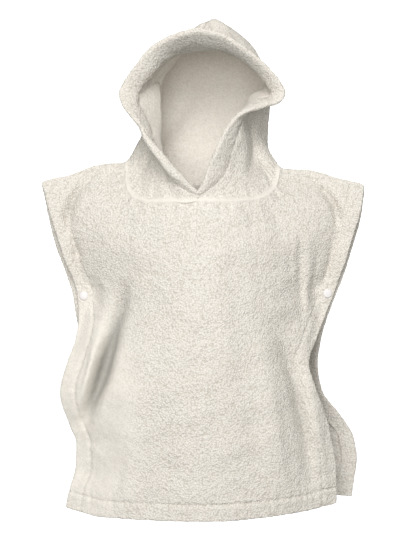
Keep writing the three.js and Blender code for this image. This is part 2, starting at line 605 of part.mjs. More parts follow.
// Draws a piece back from its seams by half of the gap, square to the mitre that it shares with its neighbour.
function seamShifts(grid, steps, seams) {
  const shifts = grid.map((row) => row.map(() => new THREE.Vector3()));
  const limit = (v, length) => Math.min(length - 1, Math.max(0, v));
  const at = ([r, c]) => grid[limit(r, grid.length)][limit(c, grid[0].length)].point;
  for (const seam of seams)
    for (const [cell, before, after, inside] of SEAM_EDGES[seam](grid)) {
      const along = at(after).clone().sub(at(before));
      const [r, c] = cell;
      const square = along.cross(steps[r][c]).normalize();
      if (square.dot(at(inside).clone().sub(at(cell))) < 0) square.negate();
      shifts[r][c].addScaledVector(square, SEAM_GAP / 2);
    }
  return shifts;
}

// A closed wall between a grid of outer points and the grid of inner points behind it
function wallGeometry(outer, inner) {
  const [rowCount, columnCount] = [outer.length, outer[0].length];
  const positions = [...outer.flat(), ...inner.flat()].flatMap((p) => [p.x, p.y, p.z]);
  const index = [];
  const out = (r, c) => r * columnCount + c;
  const back = (r, c) => rowCount * columnCount + out(r, c);
  const quad = (a, b, c, d) => index.push(a, b, c, a, c, d);
  // Both pieces at a seam split their end faces along the same diagonal, from the outer point named first.
  const endQuad = (a, b, fromA) => {
    const [innerA, innerB] = [a + rowCount * columnCount, b + rowCount * columnCount];
    if (fromA) quad(a, b, innerB, innerA);
    else quad(b, innerB, innerA, a);
  };
  const nearMiddle = (a, b) => Math.abs(positions[3 * a]) < Math.abs(positions[3 * b]);
  for (let r = 0; r < rowCount - 1; r += 1)
    for (let c = 0; c < columnCount - 1; c += 1) {
      quad(out(r, c), out(r + 1, c), out(r + 1, c + 1), out(r, c + 1));
      quad(back(r, c), back(r, c + 1), back(r + 1, c + 1), back(r + 1, c));
    }
  for (let c = 0; c < columnCount - 1; c += 1) {
    const [top, low] = [0, rowCount - 1];
    endQuad(out(top, c), out(top, c + 1), nearMiddle(out(top, c), out(top, c + 1)));
    endQuad(out(low, c + 1), out(low, c), nearMiddle(out(low, c + 1), out(low, c)));
  }
  for (let r = 0; r < rowCount - 1; r += 1) {
    const c = columnCount - 1;
    endQuad(out(r + 1, 0), out(r, 0), true);
    endQuad(out(r, c), out(r + 1, c), false);
  }
  const geometry = new THREE.BufferGeometry();
  geometry.setAttribute("position", new THREE.Float32BufferAttribute(positions, 3));
  geometry.setIndex(index);
  geometry.computeVertexNormals();
  return geometry;
}

// Keeps the inner face of a panel on its own side of the shoulder seam, each row below the one above.
function keepSide(inner, facing) {
  inner.forEach((row, r) =>
    row.forEach((point, c) => {
      point.y = facing * Math.max(facing * point.y, SEAM_GAP / 2);
      if (r > 0) point.z = Math.min(point.z, inner[r - 1][c].z - ROW_STEP);
    }),
  );
}

// Turns the order of the columns round, which turns the wall's faces the other way.
const mirrored = (grid) => grid.map((row) => [...row].reverse());

function wall({ name, grid, turn, seams, facing }, material) {
  const steps = grid.map((row) => row.map(inwardStep));
  const shifts = seamShifts(grid, steps, seams);
  const outer = grid.map((row, r) => row.map(({ point }, c) => point.clone().add(shifts[r][c])));
  const inner = outer.map((row, r) => row.map((point, c) => point.clone().add(steps[r][c])));
  if (facing) keepSide(inner, facing);
  const geometry = turn < 0 ? wallGeometry(outer, inner) : wallGeometry(mirrored(outer), mirrored(inner));
  const mesh = new THREE.Mesh(geometry, material);
  mesh.name = name;
  return mesh;
}

// A piece of a snap is turned about its own axis, which points out of the front of the garment.
function snapPiece(name, profile, material) {
  const points = profile.map(([radius, height]) => new THREE.Vector2(radius, height));
  const mesh = new THREE.Mesh(new THREE.LatheGeometry(points, CAP_SIDES), material);
  mesh.name = name;
  return mesh;
}

function snap({ side, x, z }, material) {
  const group = new THREE.Group();
  const seat = SNAP_PLAY + HEM_THICK + SEAM_GAP;
  const cap = [
    [0, 0],
    [CAP_RADIUS - 0.4, 0],
    [CAP_RADIUS, 0.4],
    [CAP_RADIUS, 0.9],
    [CAP_RADIUS - 0.7, CAP_HEIGHT * 0.8],
    [CAP_RADIUS * 0.5, CAP_HEIGHT],
    [0, CAP_HEIGHT],
  ];
  const socketBack = SNAP_PLAY - SEAM_GAP;
  const socket = [
    [0, SOCKET_FLOOR],
    [SOCKET_HOLE, SOCKET_FLOOR],
    [SOCKET_HOLE, SOCKET_FACE],
    [SOCKET_RADIUS, SOCKET_FACE],
    [SOCKET_RADIUS, socketBack],
    [0, socketBack],
  ];
  const stud = [
    [0, -socketBack],
    [STUD_RADIUS, -socketBack],
    [STUD_RADIUS, SOCKET_FACE - SEAM_GAP],
    [SOCKET_HOLE - SEAM_GAP, SOCKET_FACE - SEAM_GAP],
    [SOCKET_HOLE - SEAM_GAP, SOCKET_FLOOR - SEAM_GAP],
    [0, SOCKET_FLOOR - SEAM_GAP],
  ];
  const front = snapPiece(`snap_cap_${side}`, cap, material);
  front.position.y = seat;
  const back = snapPiece(`snap_back_cap_${side}`, cap, material);
  back.position.y = -seat;
  back.rotation.x = Math.PI;
  group.add(front, back);
  group.add(snapPiece(`snap_socket_${side}`, socket, material));
  group.add(snapPiece(`snap_stud_${side}`, stud, material));
  group.rotation.x = Math.PI;
  group.position.set(x, 0, z);
  return group;
}

function material(color, roughness) {
  return new THREE.MeshStandardMaterial({ color, roughness, metalness: 0 });
}

const pieces = [
  { name: "front_panel", grid: panelGrid(frontForm, FRONT_BOTTOM), turn: -1, seams: ["top"], facing: -1 },
  { name: "back_panel", grid: panelGrid(backForm, BACK_BOTTOM), turn: 1, seams: ["top"], facing: 1 },
  { name: "hood_left", grid: hoodGrid("left", 1), turn: 1, seams: ["bottom", "first", "last"] },
  { name: "hood_right", grid: hoodGrid("right", -1), turn: -1, seams: ["bottom", "first", "last"] },
];
for (const { grid } of pieces) noteEdges(grid);

const poncho = new THREE.Group();
for (const piece of pieces) poncho.add(wall(piece, material(TERRY, 0.95)));
for (const place of SNAPS) poncho.add(snap(place, material(SNAP_PLASTIC, 0.4)));

export default poncho;
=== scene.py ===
"""Looks of a child's hooded bath poncho of ivory terry cloth, filled out as if worn.

Sizes and places are in millimetres, and each mesh is scaled to metres as it is made.
+Z is up and the front faces -Y. Left and right are those of somebody who looks at the front.
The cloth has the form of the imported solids, on a finer grid, with its smaller creases, hems,
stitching and pile added.
"""

from types import SimpleNamespace

import bpy
import numpy as np
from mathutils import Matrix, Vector


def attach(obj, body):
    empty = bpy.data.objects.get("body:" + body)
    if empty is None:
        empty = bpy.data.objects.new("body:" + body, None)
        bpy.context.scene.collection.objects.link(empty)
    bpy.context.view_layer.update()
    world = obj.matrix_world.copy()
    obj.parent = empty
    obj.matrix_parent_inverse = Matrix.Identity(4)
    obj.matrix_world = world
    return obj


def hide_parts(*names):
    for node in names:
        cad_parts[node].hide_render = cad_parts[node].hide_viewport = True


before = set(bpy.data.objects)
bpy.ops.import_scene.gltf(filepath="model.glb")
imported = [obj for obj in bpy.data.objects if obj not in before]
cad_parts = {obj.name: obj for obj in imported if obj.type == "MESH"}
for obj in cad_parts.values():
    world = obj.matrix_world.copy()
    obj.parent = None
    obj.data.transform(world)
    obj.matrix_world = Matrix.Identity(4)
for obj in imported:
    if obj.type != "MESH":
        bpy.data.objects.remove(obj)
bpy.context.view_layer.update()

MM = 0.001
SEED = 7

# Cloth
CLOTH_THICK = 3.0
HEM_THICK = 4.6
SIDE_HEM = 20.0
BOTTOM_HEM = 22.0
HOOD_HEM = 29.0
HEM_STEP = 2.5
SEAM_GAP = 0.06
RIM_ROLL = 1.7  # how far the hood's rolled hem swells on each side
GROOVE_DEPTH = 1.3
GROOVE_WIDTH = 2.0
PILE_RELIEF = 0.42  # unevenness of the loops that the mesh itself carries
PILE_SIZE = 2.7
UNDER_SHARE = 0.6  # how much of the outer relief shows on the inner face
COARSE_PILE = 0.6  # share of the relief that is twice as wide
RIPPLE = 0.9  # height of the soft unevenness of hanging cloth
FINE_RIPPLE = 0.22
HEM_PUCKER = 0.5  # height of the gathers that the stitching draws up
RIM_PUCKER = 0.6
NECK_PUCKER = 0.9
SEAM_RIDGE = 1.9  # height of the ridge that the seam allowance makes at the neckline
RIDGE_WIDTH = 2.6

# Snap fastener
SNAP_PLAY = 2.2
CAP_RADIUS = 6.2
CAP_HEIGHT = 2.1
SNAP_FLAT = 9.0
SNAP_FADE = 32.0
SNAP_GAP = 0.3
SNAP_RING = 9.0  # radius at which a snap pushes up the cloth round it
SNAP_RING_HEIGHT = 0.7
SNAP_RING_WIDTH = 2.2
SNAPS = {"left": (-162.5, -175.0), "right": (170.0, -172.0)}

# How a panel rounds forward from the top of the shoulder
BODY_FALL = 150.0
SLEEVE_FALL = 42.0
FALL_CURVE = 1.6
FALL_ROUND = 0.62
FALL_SPREAD = 0.6
BULGE_CURVE = 1.8
BULGE_EDGE = 1.1
FOLD_SWELL = 1.2  # above 1 a fold starts and ends gently

# The neckline is given by the share of the way from the middle of the front (0) to the nape (1).
SHOULDER_AT = 0.5

# The hood
HOOD_ROUND = 320.0  # length of the cloth halfway from the rim to the neck, for its ripples
HOOD_SPAN = 300.0
HOOD_AXIS = (4.0, 15.0)
HOOD_BACK_FULLNESS = 20.0
HOOD_FALL_LOW = 1.3
HOOD_SIDE_FALL = 30.0
CHEEK_FULL = 0.12  # share of the way round the rim up to which the cheeks don't fall in
CHEEK_FADE = 0.3
FOLD_FADE = 0.12
FACE_MIDDLE = (0.0, 75.0)  # middle of the face opening from the front, x and z
FLARE_BACK = 75.0  # depth over which the cloth behind the rim opens out again
FLARE_BACK_LOW = 26.0  # the same below the cheeks
FLARE_LOW_TO = 0.34  # share of the way round the rim up to which that holds
FLARE_CHANGE = 0.14
FLARE_REST = 6.0  # depth over which the cloth stays furthest in

# Mesh density
CELL = 2.4
NECK_FRONT_CELLS = 56
NECK_BACK_CELLS = 48
EDGE_INSETS = (0.0, 0.15, 0.5, 1.0, 1.6, 2.4, 3.6)
TOP_CROWDING = 1.3  # above 1 the rows stand closer at the shoulders and the neck


def clamp01(value):
    return np.clip(value, 0.0, 1.0)


def smooth(value):
    t = clamp01(value)
    return t * t * (3 - 2 * t)


def mix(a, b, t):
    return a + (b - a) * t


def bell(value):
    return np.exp(-value * value)


def column(keys, values):
    """One column of a table as a smooth function of another, with no overshoot between its rows."""
    order = np.argsort(keys)
    k = np.asarray(keys, float)[order]
    v = np.asarray(values, float)[order]
    steps = np.diff(k)
    slopes = np.diff(v) / steps
    before, after = slopes[:-1], slopes[1:]
    same = before * after > 0
    weight_before = 2 * steps[1:] + steps[:-1]
    weight_after = steps[1:] + 2 * steps[:-1]
    mean = weight_before / np.where(same, before, 1) + weight_after / np.where(same, after, 1)
    inner = np.where(same, (weight_before + weight_after) / np.where(same, mean, 1), 0)
    tangent = np.concatenate([slopes[:1], inner, slopes[-1:]])

    def at(place):
        x = np.clip(place, k[0], k[-1])
        i = np.clip(np.searchsorted(k, x) - 1, 0, len(steps) - 1)
        t = (x - k[i]) / steps[i]
        t2, t3 = t * t, t * t * t
        return (
            (2 * t3 - 3 * t2 + 1) * v[i]
            + (t3 - 2 * t2 + t) * steps[i] * tangent[i]
            + (3 * t2 - 2 * t3) * v[i + 1]
            + (t3 - t2) * steps[i] * tangent[i + 1]
        )

    return at


def table(names, rows):
    """A table whose first column is the key. Each other column becomes a function of it."""
    names = names.split()
    cells = list(zip(*rows))
    return SimpleNamespace(**{name: column(cells[0], cells[i]) for i, name in enumerate(names) if i})


SHOULDERS = table("x z", [
    (-224, -24), (-218, -18.5), (-205, -14.5), (-187, -11), (-163, -2), (-145, 4), (-127, 6),
    (-107, 7), (-80, 24), (-50, 46), (-3, 60), (45, 46), (75, 22), (101, 1), (120, -2),
    (143, -2.5), (163, -7), (182, -13), (200, -17.5), (216, -21.5), (224, -26),
])

# The panels by height: side edges, how far forward or back they and the middle stand,
# and how far out the rounded body reaches on each side
PANEL_COLUMNS = "z left right left_y right_y middle_y left_body right_body"
FRONT = table(PANEL_COLUMNS, [
    (60, -223, 222.5, 2, 2, 74, 143, 143),
    (4, -223, 222.5, 3, 3, 75, 144, 144),
    (-18, -223, 222.5, 6, 6, 76, 158, 149),
    (-33, -217, 220, 9, 9, 77, 170, 163),
    (-48, -213, 217.5, 12, 12, 78, 176, 175),
    (-64, -208.5, 214, 14, 14, 80, 178, 180),
    (-105, -195.5, 201, 15, 15, 84, 174, 177),
    (-130, -187.5, 194, 13, 13, 87, 167, 170),
    (-146, -180, 188, 11, 11, 88, 164, 166),
    (-175, -172, 178, 7, 7, 90, 161, 163),
    (-205, -170, 166, 9, 10, 92, 164, 158),
    (-232, -173.5, 155, 14, 18, 93, 171, 152),
    (-264, -184, 144, 22, 28, 93.5, 183, 144),
    (-306, -193.5, 156, 28, 32, 93, 193, 156),
    (-350, -181, 170.5, 26, 30, 91, 181, 170),
    (-375, -172, 176, 24, 28, 90, 172, 176),
    (-404, -172.5, 180.5, 24, 26, 88, 172, 180),
    (-440, -182, 181.5, 26, 24, 86, 182, 181),
    (-468, -188, 181.5, 28, 24, 84, 188, 181),
])
BACK = table(PANEL_COLUMNS, [
    (60, -223, 222.5, 2, 2, 80, 150, 150),
    (4, -223, 222.5, 3, 3, 80, 150, 150),
    (-18, -223, 222.5, 6, 6, 82, 160, 158),
    (-33, -219, 221.5, 9, 9, 83, 172, 168),
    (-64, -213.5, 218, 14, 14, 85, 180, 182),
    (-105, -203.5, 207, 15, 15, 87, 178, 182),
    (-146, -188, 194, 11, 11, 88, 168, 172),
    (-175, -178.5, 182, 7, 7, 88, 164, 166),
    (-205, -174, 171, 10, 11, 88, 166, 162),
    (-232, -168, 164, 18, 20, 88, 166, 160),
    (-264, -160, 160.5, 28, 34, 90, 160, 160),
    (-306, -158, 167, 34, 48, 92, 158, 166),
    (-350, -161, 198, 34, 58, 94, 161, 190),
    (-375, -163, 212, 32, 60, 95, 163, 203),
    (-404, -165, 216.5, 32, 60, 95, 165, 208),
    (-440, -167, 212, 34, 60, 95, 167, 205),
    (-468, -168, 208, 34, 60, 94, 168, 202),
])
FRONT_BOTTOM = table("x z", [
    (-190, -458), (-170, -464), (-125, -470.5), (0, -471), (80, -467.5), (135, -463), (185, -455),
])
BACK_BOTTOM = table("x z", [(-170, -458), (-60, -461), (60, -461), (160, -457), (210, -459)])
LOWEST = {"front": -471.0, "back": -461.0}

# Folds run down a panel through three places: x0 z0 x1 z1 x2 z2, depth, width to the left and to the right.
# A trough has a positive depth and a ridge a negative one. The folds are the main ones, which the solids
# have too, and the creases are only here.
FRONT_FOLDS = [
    (-139, 6, -172, -36, -178, -112, 6, 8, 6),
    (-178, -84, -172, -124, -163, -166, 4, 8, 6),
    (-101, -146, -121, -246, -168, -372, 25, 15, 7),
    (-136, -196, -150, -262, -173, -350, -8, 10, 9),
    (-110, 6, -121, -6, -136, -22, 4, 6, 6),
    (-76, -270, -96, -360, -106, -480, -5, 26, 20),
    (140, -4, 178, -52, 176, -120, 5, 6, 8),
    (176, -96, 172, -136, 160, -186, 3, 6, 8),
    (131, -80, 130, -142, 134, -216, 5.5, 5, 8),
    (144, -86, 143, -160, 145, -240, -3.5, 8, 8),
    (92, -195, 120, -290, 146, -455, 11, 9, 14),
    (76, -200, 94, -320, 112, -465, -7, 18, 12),
    (133, -205, 146, -300, 164, -450, -6, 11, 11),
]
BACK_FOLDS = [
    (-143, 4, -172, -40, -176, -112, 6, 8, 8),
    (142, -6, 174, -50, 174, -112, 6, 8, 8),
    (-106, -130, -124, -240, -140, -430, 14, 16, 11),
    (-68, -180, -78, -320, -86, -490, -7, 20, 20),
    (-22, -60, -28, -240, -30, -490, 6, 20, 15),
    (36, -140, 42, -300, 50, -490, -6, 20, 20),
    (100, -120, 120, -250, 130, -460, 14, 11, 16),
    (136, -200, 152, -310, 172, -460, -7, 14, 14),
]
FRONT_CREASES = [
    (-142, 0, -174, -38, -178, -92, 6.5, 7, 4),
    (-175, -88, -170, -128, -163, -160, 3.0, 5, 3),
    (-124, -225, -138, -290, -168, -360, 8, 13, 9),
    (-148, -226, -157, -268, -168, -314, 2.2, 4, 2.5),
    (-98, 2, -106, -8, -116, -26, 1.8, 4, 4),
    (-104, -385, -112, -425, -124, -462, 1.8, 8, 5),
    (-150, -372, -160, -412, -176, -446, 2.6, 7, 5),
    (-60, -52, -63, -66, -70, -92, 1.3, 4, 4),
    (-28, -51, -27, -64, -30, -86, 1.0, 4, 4),
    (22, -51, 24, -66, 27, -88, 1.1, 4, 4),
    (58, -49, 62, -62, 69, -90, 1.3, 4, 4),
    (-84, -47, -92, -62, -104, -92, 1.4, 5, 5),
    (82, -43, 92, -60, 106, -92, 1.4, 5, 5),
    (146, -14, 177, -48, 178, -90, 6, 4, 6),
    (178, -84, 173, -124, 164, -168, 2.2, 3.5, 5),
    (154, -108, 151, -150, 141, -206, 2.4, 3.5, 3.5),
    (118, -96, 119, -145, 124, -196, 1.8, 5, 5),
    (108, -250, 130, -330, 150, -425, 3.0, 4, 6),
    (62, -290, 74, -370, 88, -460, 1.4, 9, 7),
    (10, -320, 12, -390, 17, -465, 0.9, 12, 10),
    (-48, -330, -50, -400, -57, -468, 1.0, 10, 10),
    (-30, -110, -44, -170, -66, -240, 1.0, 12, 11),
    (40, -120, 46, -190, 60, -270, 1.0, 11, 12),
]
BACK_CREASES = [
    (-147, -4, -173, -44, -176, -86, 2.8, 4, 3),
    (147, -12, 174, -48, 174, -90, 2.8, 3, 4),
    (-112, -165, -125, -240, -136, -350, 3.0, 7, 4),
    (-58, -34, -60, -60, -66, -100, 1.6, 6, 6),
    (-16, -22, -14, -52, -18, -94, 1.3, 6, 6),
    (26, -22, 30, -52, 34, -96, 1.4, 6, 6),
    (66, -30, 70, -60, 79, -106, 1.6, 6, 6),
    (108, -175, 121, -260, 130, -365, 3.0, 4, 7),
    (-150, -315, -148, -380, -152, -450, 2.2, 7, 7),
    (6, -285, 8, -370, 10, -465, 1.2, 11, 11),
    (84, -300, 92, -390, 98, -460, 1.6, 9, 9),
    (178, -310, 184, -370, 191, -450, 2.4, 7, 7),
]

NECK = {
    "left": table("along x z", [
        (0, -3.5, -48), (0.1, -37, -49.5), (0.2, -70, -48.5), (0.29, -93, -41), (0.37, -101, -29),
        (0.44, -104, -15), (0.5, -105, 6.9), (0.58, -101, -7), (0.68, -88, -14), (0.82, -50, -19),
        (1, -3.5, -20),
    ]),
    "right": table("along x z", [
        (0, -3.5, -48), (0.1, 33, -48.5), (0.2, 66, -46.5), (0.29, 88, -37), (0.37, 99, -26),
        (0.44, 102.5, -14), (0.5, 105, 0), (0.58, 100, -10), (0.68, 83, -15), (0.82, 44, -19),
        (1, -3.5, -20),
    ]),
}

# The rim of the hood, from the point at the throat (0) to the forehead (1)
RIM = {
    "left": table("along x y z", [
        (0, -7, -75, -37), (0.08, -22, -77, -20), (0.18, -40, -78, 1), (0.26, -58, -77, 22),
        (0.34, -76, -73, 41), (0.42, -96, -66, 61), (0.49, -110, -58, 81), (0.54, -113, -53, 94),
        (0.6, -107, -52, 110), (0.68, -91, -54, 133), (0.76, -73, -55, 155), (0.86, -48, -58, 171),
        (0.94, -25, -62, 179), (1, -8, -66, 182),
    ]),
    "right": table("along x y z", [
        (0, -7, -75, -37), (0.05, 0.4, -76, -27), (0.11, 6, -77, -11), (0.17, 12, -77, 5),
        (0.22, 19, -77, 20), (0.27, 26, -76, 34), (0.33, 35, -73, 49), (0.38, 45, -69, 60),
        (0.43, 57, -66, 67), (0.48, 70, -62, 72), (0.53, 86, -57, 77), (0.57, 99, -54, 80),
        (0.6, 108, -52, 87), (0.63, 111, -51, 97), (0.67, 105, -51, 111), (0.74, 86, -53, 134),
        (0.84, 53, -58, 161), (0.94, 17, -64, 178), (1, -8, -66, 182),
    ]),
}

# How far the cloth behind the rim's hem is drawn in towards the middle of the face, how deep behind the rim
# it is furthest in, and how far it is pushed forward there
RIM_FLARE = {
    "left": table("along reach deep forward", [
        (0, 0, 12, 0), (0.08, -5, 14, 5), (0.18, -10, 18, 11), (0.3, -8, 18, 9), (0.38, 0, 19, 3),
        (0.44, 5, 20, 0), (0.54, 17, 20, 0), (0.66, 19, 22, 0), (0.8, 22, 32, 0), (0.92, 31, 46, 0),
        (1, 36, 50, 0),
    ]),
    "right": table("along reach deep forward", [
        (0, 0, 20, 0), (0.34, 0, 20, 0), (0.46, 3, 20, 0), (0.56, 8, 20, 0), (0.66, 11, 20, 0),
        (0.8, 14, 27, 0), (0.92, 27, 44, 0), (1, 36, 50, 0),
    ]),
}

# The hood's centre seam from the rim (0) over the crown and its corner to the nape (1)
HOOD_SEAM = table("along x y z", [
    (0, -8, -66, 182), (0.1, -4, -40, 190), (0.22, 4, -8, 204), (0.36, 15, 28, 209),
    (0.45, 19, 54, 206), (0.55, 17, 76, 184), (0.66, 11, 90, 146), (0.78, 5, 95, 98),
    (0.88, 1, 92, 52), (0.95, -2, 80, 12), (1, -3.5, 68, -20),
])

# Folds of the hood: from, to, share0, share1, depth, width.
# They run across it at a share of the way from the rim to the neck.
HOOD_FOLDS = {
    "left": [
        (0.2, 0.62, 0.4, 0.48, 9, 0.13),
        (0.56, 0.98, 0.42, 0.2, 16, 0.12),
        (0.12, 0.42, 0.62, 0.86, 3, 0.1),
        (0.55, 0.95, 0.9, 0.76, 8, 0.07),
    ],
    "right": [
        (0.3, 0.8, 0.4, 0.46, 8, 0.13),
        (0.2, 0.5, 0.7, 0.9, 4, 0.08),
        (0.6, 0.95, 0.92, 0.8, 7, 0.07),
        (0.72, 1.0, 0.34, 0.24, 9, 0.09),
    ],
}
HOOD_CREASES = {
    "left": [
        (0.5, 0.9, 0.3, 0.36, 2.5, 0.035),
        (0.3, 0.6, 0.7, 0.8, 2.4, 0.04),
        (0.62, 0.98, 0.55, 0.6, 2.0, 0.04),
    ],
    "right": [
        (0.55, 0.92, 0.28, 0.33, 2.2, 0.035),
        (0.3, 0.62, 0.78, 0.86, 2.2, 0.04),
        (0.6, 0.96, 0.58, 0.64, 2.0, 0.04),
    ],
}


def fold_depth(fold, x, z):
    """How deep a fold of a panel is at a place."""
    x0, z0, x1, z1, x2, z2, depth, width_left, width_right = fold
    t = (z0 - z) / (z0 - z2)
    middle = (z0 - z1) / (z0 - z2)
    bow = (x1 - mix(x0, x2, middle)) / (middle * (1 - middle))
    centre = mix(x0, x2, t) + bow * t * (1 - t)
    width = np.where(x < centre, width_left, width_right)
    return depth * np.sin(np.pi * clamp01(t)) ** FOLD_SWELL * bell((x - centre) / width)


def panel_form(rows, folds, facing):
    """A panel as a height field: how far forward or back its cloth stands at a place in the front view."""

    def y(x, z):
        left = x < 0
        edge = np.where(left, rows.left_y(z), rows.right_y(z))
        body = np.where(left, rows.left_body(z), rows.right_body(z))
        share = np.minimum(1, np.abs(x) / body)
        bulge = (1 - share**BULGE_CURVE) ** BULGE_EDGE
        fall = mix(SLEEVE_FALL, BODY_FALL, bulge**FALL_SPREAD)
        down = clamp01((SHOULDERS.z(x) - z) / fall)
        rounding = (1 - (1 - down) ** FALL_CURVE) ** FALL_ROUND
        out = mix(edge, rows.middle_y(z), bulge) * rounding
        for fold in folds:
            out = out - fold_depth(fold, x, z)
        out = np.maximum(out, 0)
        for snap_x, snap_z in SNAPS.values():
            near = np.hypot(x - snap_x, z - snap_z)
            flat = 1 - smooth((near - SNAP_FLAT) / (SNAP_FADE - SNAP_FLAT))
            out = mix(out, SNAP_PLAY + HEM_THICK, flat)
        return facing * out

    def normal(x, z, probe=0.75):
        slope_x = (y(x + probe, z) - y(x - probe, z)) / (2 * probe)
        slope_z = (y(x, z) - y(x, z - 2 * probe)) / (2 * probe)
        return facing * unit(np.stack([-slope_x, np.ones_like(slope_x), -slope_z], -1))

    def depth(x, z):
        return sum(fold_depth(fold, x, z) for fold in folds)

    return SimpleNamespace(rows=rows, y=y, normal=normal, depth=depth, facing=facing)


def unit(vectors):
    return vectors / np.maximum(np.linalg.norm(vectors, axis=-1, keepdims=True), 1e-9)


front_form = panel_form(FRONT, FRONT_FOLDS + FRONT_CREASES, -1)
back_form = panel_form(BACK, BACK_FOLDS + BACK_CREASES, 1)


def neck_points(side, along):
    """Points of the neckline, on the front panel up to the shoulder and on the back panel past it."""
    x = NECK[side].x(along)
    shoulder = np.abs(along - SHOULDER_AT) < 1e-6
    z = np.where(shoulder, SHOULDERS.z(x), NECK[side].z(along))
    y = np.where(along < SHOULDER_AT, front_form.y(x, z), back_form.y(x, z))
    return np.stack([x, np.where(shoulder, 0, y), z], -1)


def stations(length, edge_at_start, fine_at=None):
    """Distances from an edge, closest where it is rounded and at the line of stitching."""
    places = list(EDGE_INSETS) if edge_at_start else [0.0]
    while places[-1] < length:
        step = CELL
        if fine_at is not None and abs(places[-1] + 1 - fine_at) < 3:
            step = 1.1
        places.append(places[-1] + step)
    places[-1] = length
    return np.array(places)


HEM_STATIONS = stations(SIDE_HEM + HEM_STEP + 2, True, SIDE_HEM)


def top_edge(form):
    """The top edge of a panel from its left corner to its right one: shoulder, neckline, shoulder."""
    middle = 0 if form.facing < 0 else 1
    cells = NECK_FRONT_CELLS if form.facing < 0 else NECK_BACK_CELLS
    along = np.linspace(SHOULDER_AT, middle, cells + 1)
    neck = np.concatenate([neck_points("left", along), neck_points("right", along[::-1])[1:]])

    def shoulder(outer, neck_x, sign):
        hems = outer + sign * HEM_STATIONS
        cells = int(abs(neck_x - hems[-1]) / CELL)
        x = np.concatenate([hems, np.linspace(hems[-1], neck_x, cells + 1)[1:-1]])
        return np.stack([x, 0 * x, SHOULDERS.z(x)], -1)

    left = shoulder(form.rows.left(0.0), neck[0, 0], 1)
    right = shoulder(form.rows.right(0.0), neck[-1, 0], -1)
    return np.concatenate([left, neck, right[::-1]]), neck


def panel_places(form, bottom, lowest):
    """Where the panel's points are, a row from left to right for each step down."""
    top, neck = top_edge(form)
    start_x, start_z = top[:, 0], top[:, 2]
    last = len(top) - 1
    edge = len(HEM_STATIONS)
    hem = HEM_STATIONS[-1]
    c = np.arange(last + 1)
    low = bottom.z(mix(form.rows.left(lowest), form.rows.right(lowest), c / last))
    rise = stations(BOTTOM_HEM + HEM_STEP + 2, True, BOTTOM_HEM)[::-1]
    count = int((start_z.mean() - low.mean() - rise[0]) / CELL)
    steps = (np.arange(count + 1) / count) ** TOP_CROWDING
    upper = start_z - (start_z - low - rise[0]) * steps[:, None]
    z = np.concatenate([upper, low + rise[1:, None]])
    left, right = form.rows.left(z), form.rows.right(z)
    top_left, top_right = form.rows.left(start_z), form.rows.right(start_z)
    above = (start_x - top_left - hem) / (top_right - top_left - 2 * hem)
    from_middle = 2 * (c - edge + 1) / (last - 2 * edge + 2) - 1
    evenly = 0.5 + 0.5 * np.sign(from_middle) * np.abs(from_middle) ** 0.8
    down = smooth((start_z - z) / (0.55 * (start_z - low)))
    x = mix(left + hem, right - hem, mix(above, evenly, down))
    x[:, :edge] = left[:, :edge] + HEM_STATIONS
    x[:, last - edge + 1:] = right[:, last - edge + 1:] - HEM_STATIONS[::-1]
    x[0] = start_x
    side = np.minimum(x - left, right - x)
    side[0] = np.minimum(start_x - top_left, top_right - start_x)
    return SimpleNamespace(x=x, z=z, side=side, rise=z - low, top=top, neck=neck)


def ripple(a, b, seed, longest, shortest, waves=14):
    """Soft unevenness of cloth over a flat pattern, between about -1 and 1."""
    draw = np.random.default_rng(seed)
    total = np.zeros_like(a)
    for _ in range(waves):
        length = mix(shortest, longest, draw.random())
        heading, phase = draw.random(2) * 2 * np.pi
        total += np.sin((a * np.cos(heading) + b * np.sin(heading)) * 2 * np.pi / length + phase)
    return total / np.sqrt(waves) * 0.8


def pucker(along, across, reach, seed):
    """Small gathers that a line of stitching draws up beside it."""
    draw = np.random.default_rng(seed)
    wave = np.zeros_like(along)
    for length in (7.5, 10.5, 15.0, 23.0):
        wave += np.sin(along * 2 * np.pi / length + draw.random() * 2 * np.pi)
    return 0.5 * wave * bell(across / reach)


def groove(distance, at):
    """The line that stitching presses into the cloth."""
    return -GROOVE_DEPTH * bell((distance - at) / GROOVE_WIDTH)


def line_distance(points, line):
    """Distance in the front view from places to a line, and how far along it the nearest point is."""
    flat = points.reshape(-1, 2)
    starts, ends = line[:-1], line[1:]
    along = ends - starts
    lengths = np.maximum((along**2).sum(-1), 1e-9)
    best = np.full(len(flat), np.inf)
    reached = np.zeros(len(flat))
    passed = 0.0
    for start, step, length in zip(starts, along, lengths):
        t = clamp01(((flat - start) @ step) / length)
        gap = flat - start - t[:, None] * step
        far = np.hypot(gap[:, 0], gap[:, 1])
        reached = np.where(far < best, passed + t * np.sqrt(length), reached)
        best = np.minimum(best, far)
        passed += np.sqrt(length)
    return best.reshape(points.shape[:-1]), reached.reshape(points.shape[:-1])


def panel_relief(x, z, side, rise, neck_gap, neck_along, seed):
    """How far hems, seams and small creases lift the cloth."""
    relief = RIPPLE * ripple(x, z, seed, 95, 34)
    relief += FINE_RIPPLE * ripple(x, z, seed + 1, 22, 9)
    relief += groove(side, SIDE_HEM) + groove(rise, BOTTOM_HEM)
    relief += HEM_PUCKER * pucker(z, side - SIDE_HEM, 9, seed + 2)
    relief += HEM_PUCKER * pucker(x, rise - BOTTOM_HEM, 10, seed + 3)
    relief += NECK_PUCKER * pucker(neck_along, neck_gap - 7, 11, seed + 4) * smooth(neck_gap / 4)
    for snap_x, snap_z in SNAPS.values():
        past_ring = np.hypot(x - snap_x, z - snap_z) - SNAP_RING
        relief = mix(relief, 0.0, 1 - smooth(past_ring / SNAP_RING))
        relief += SNAP_RING_HEIGHT * bell(past_ring / SNAP_RING_WIDTH)
    top_gap = SHOULDERS.z(x) - z
    return relief * smooth(np.minimum(top_gap, 2.5 * neck_gap) / 5)


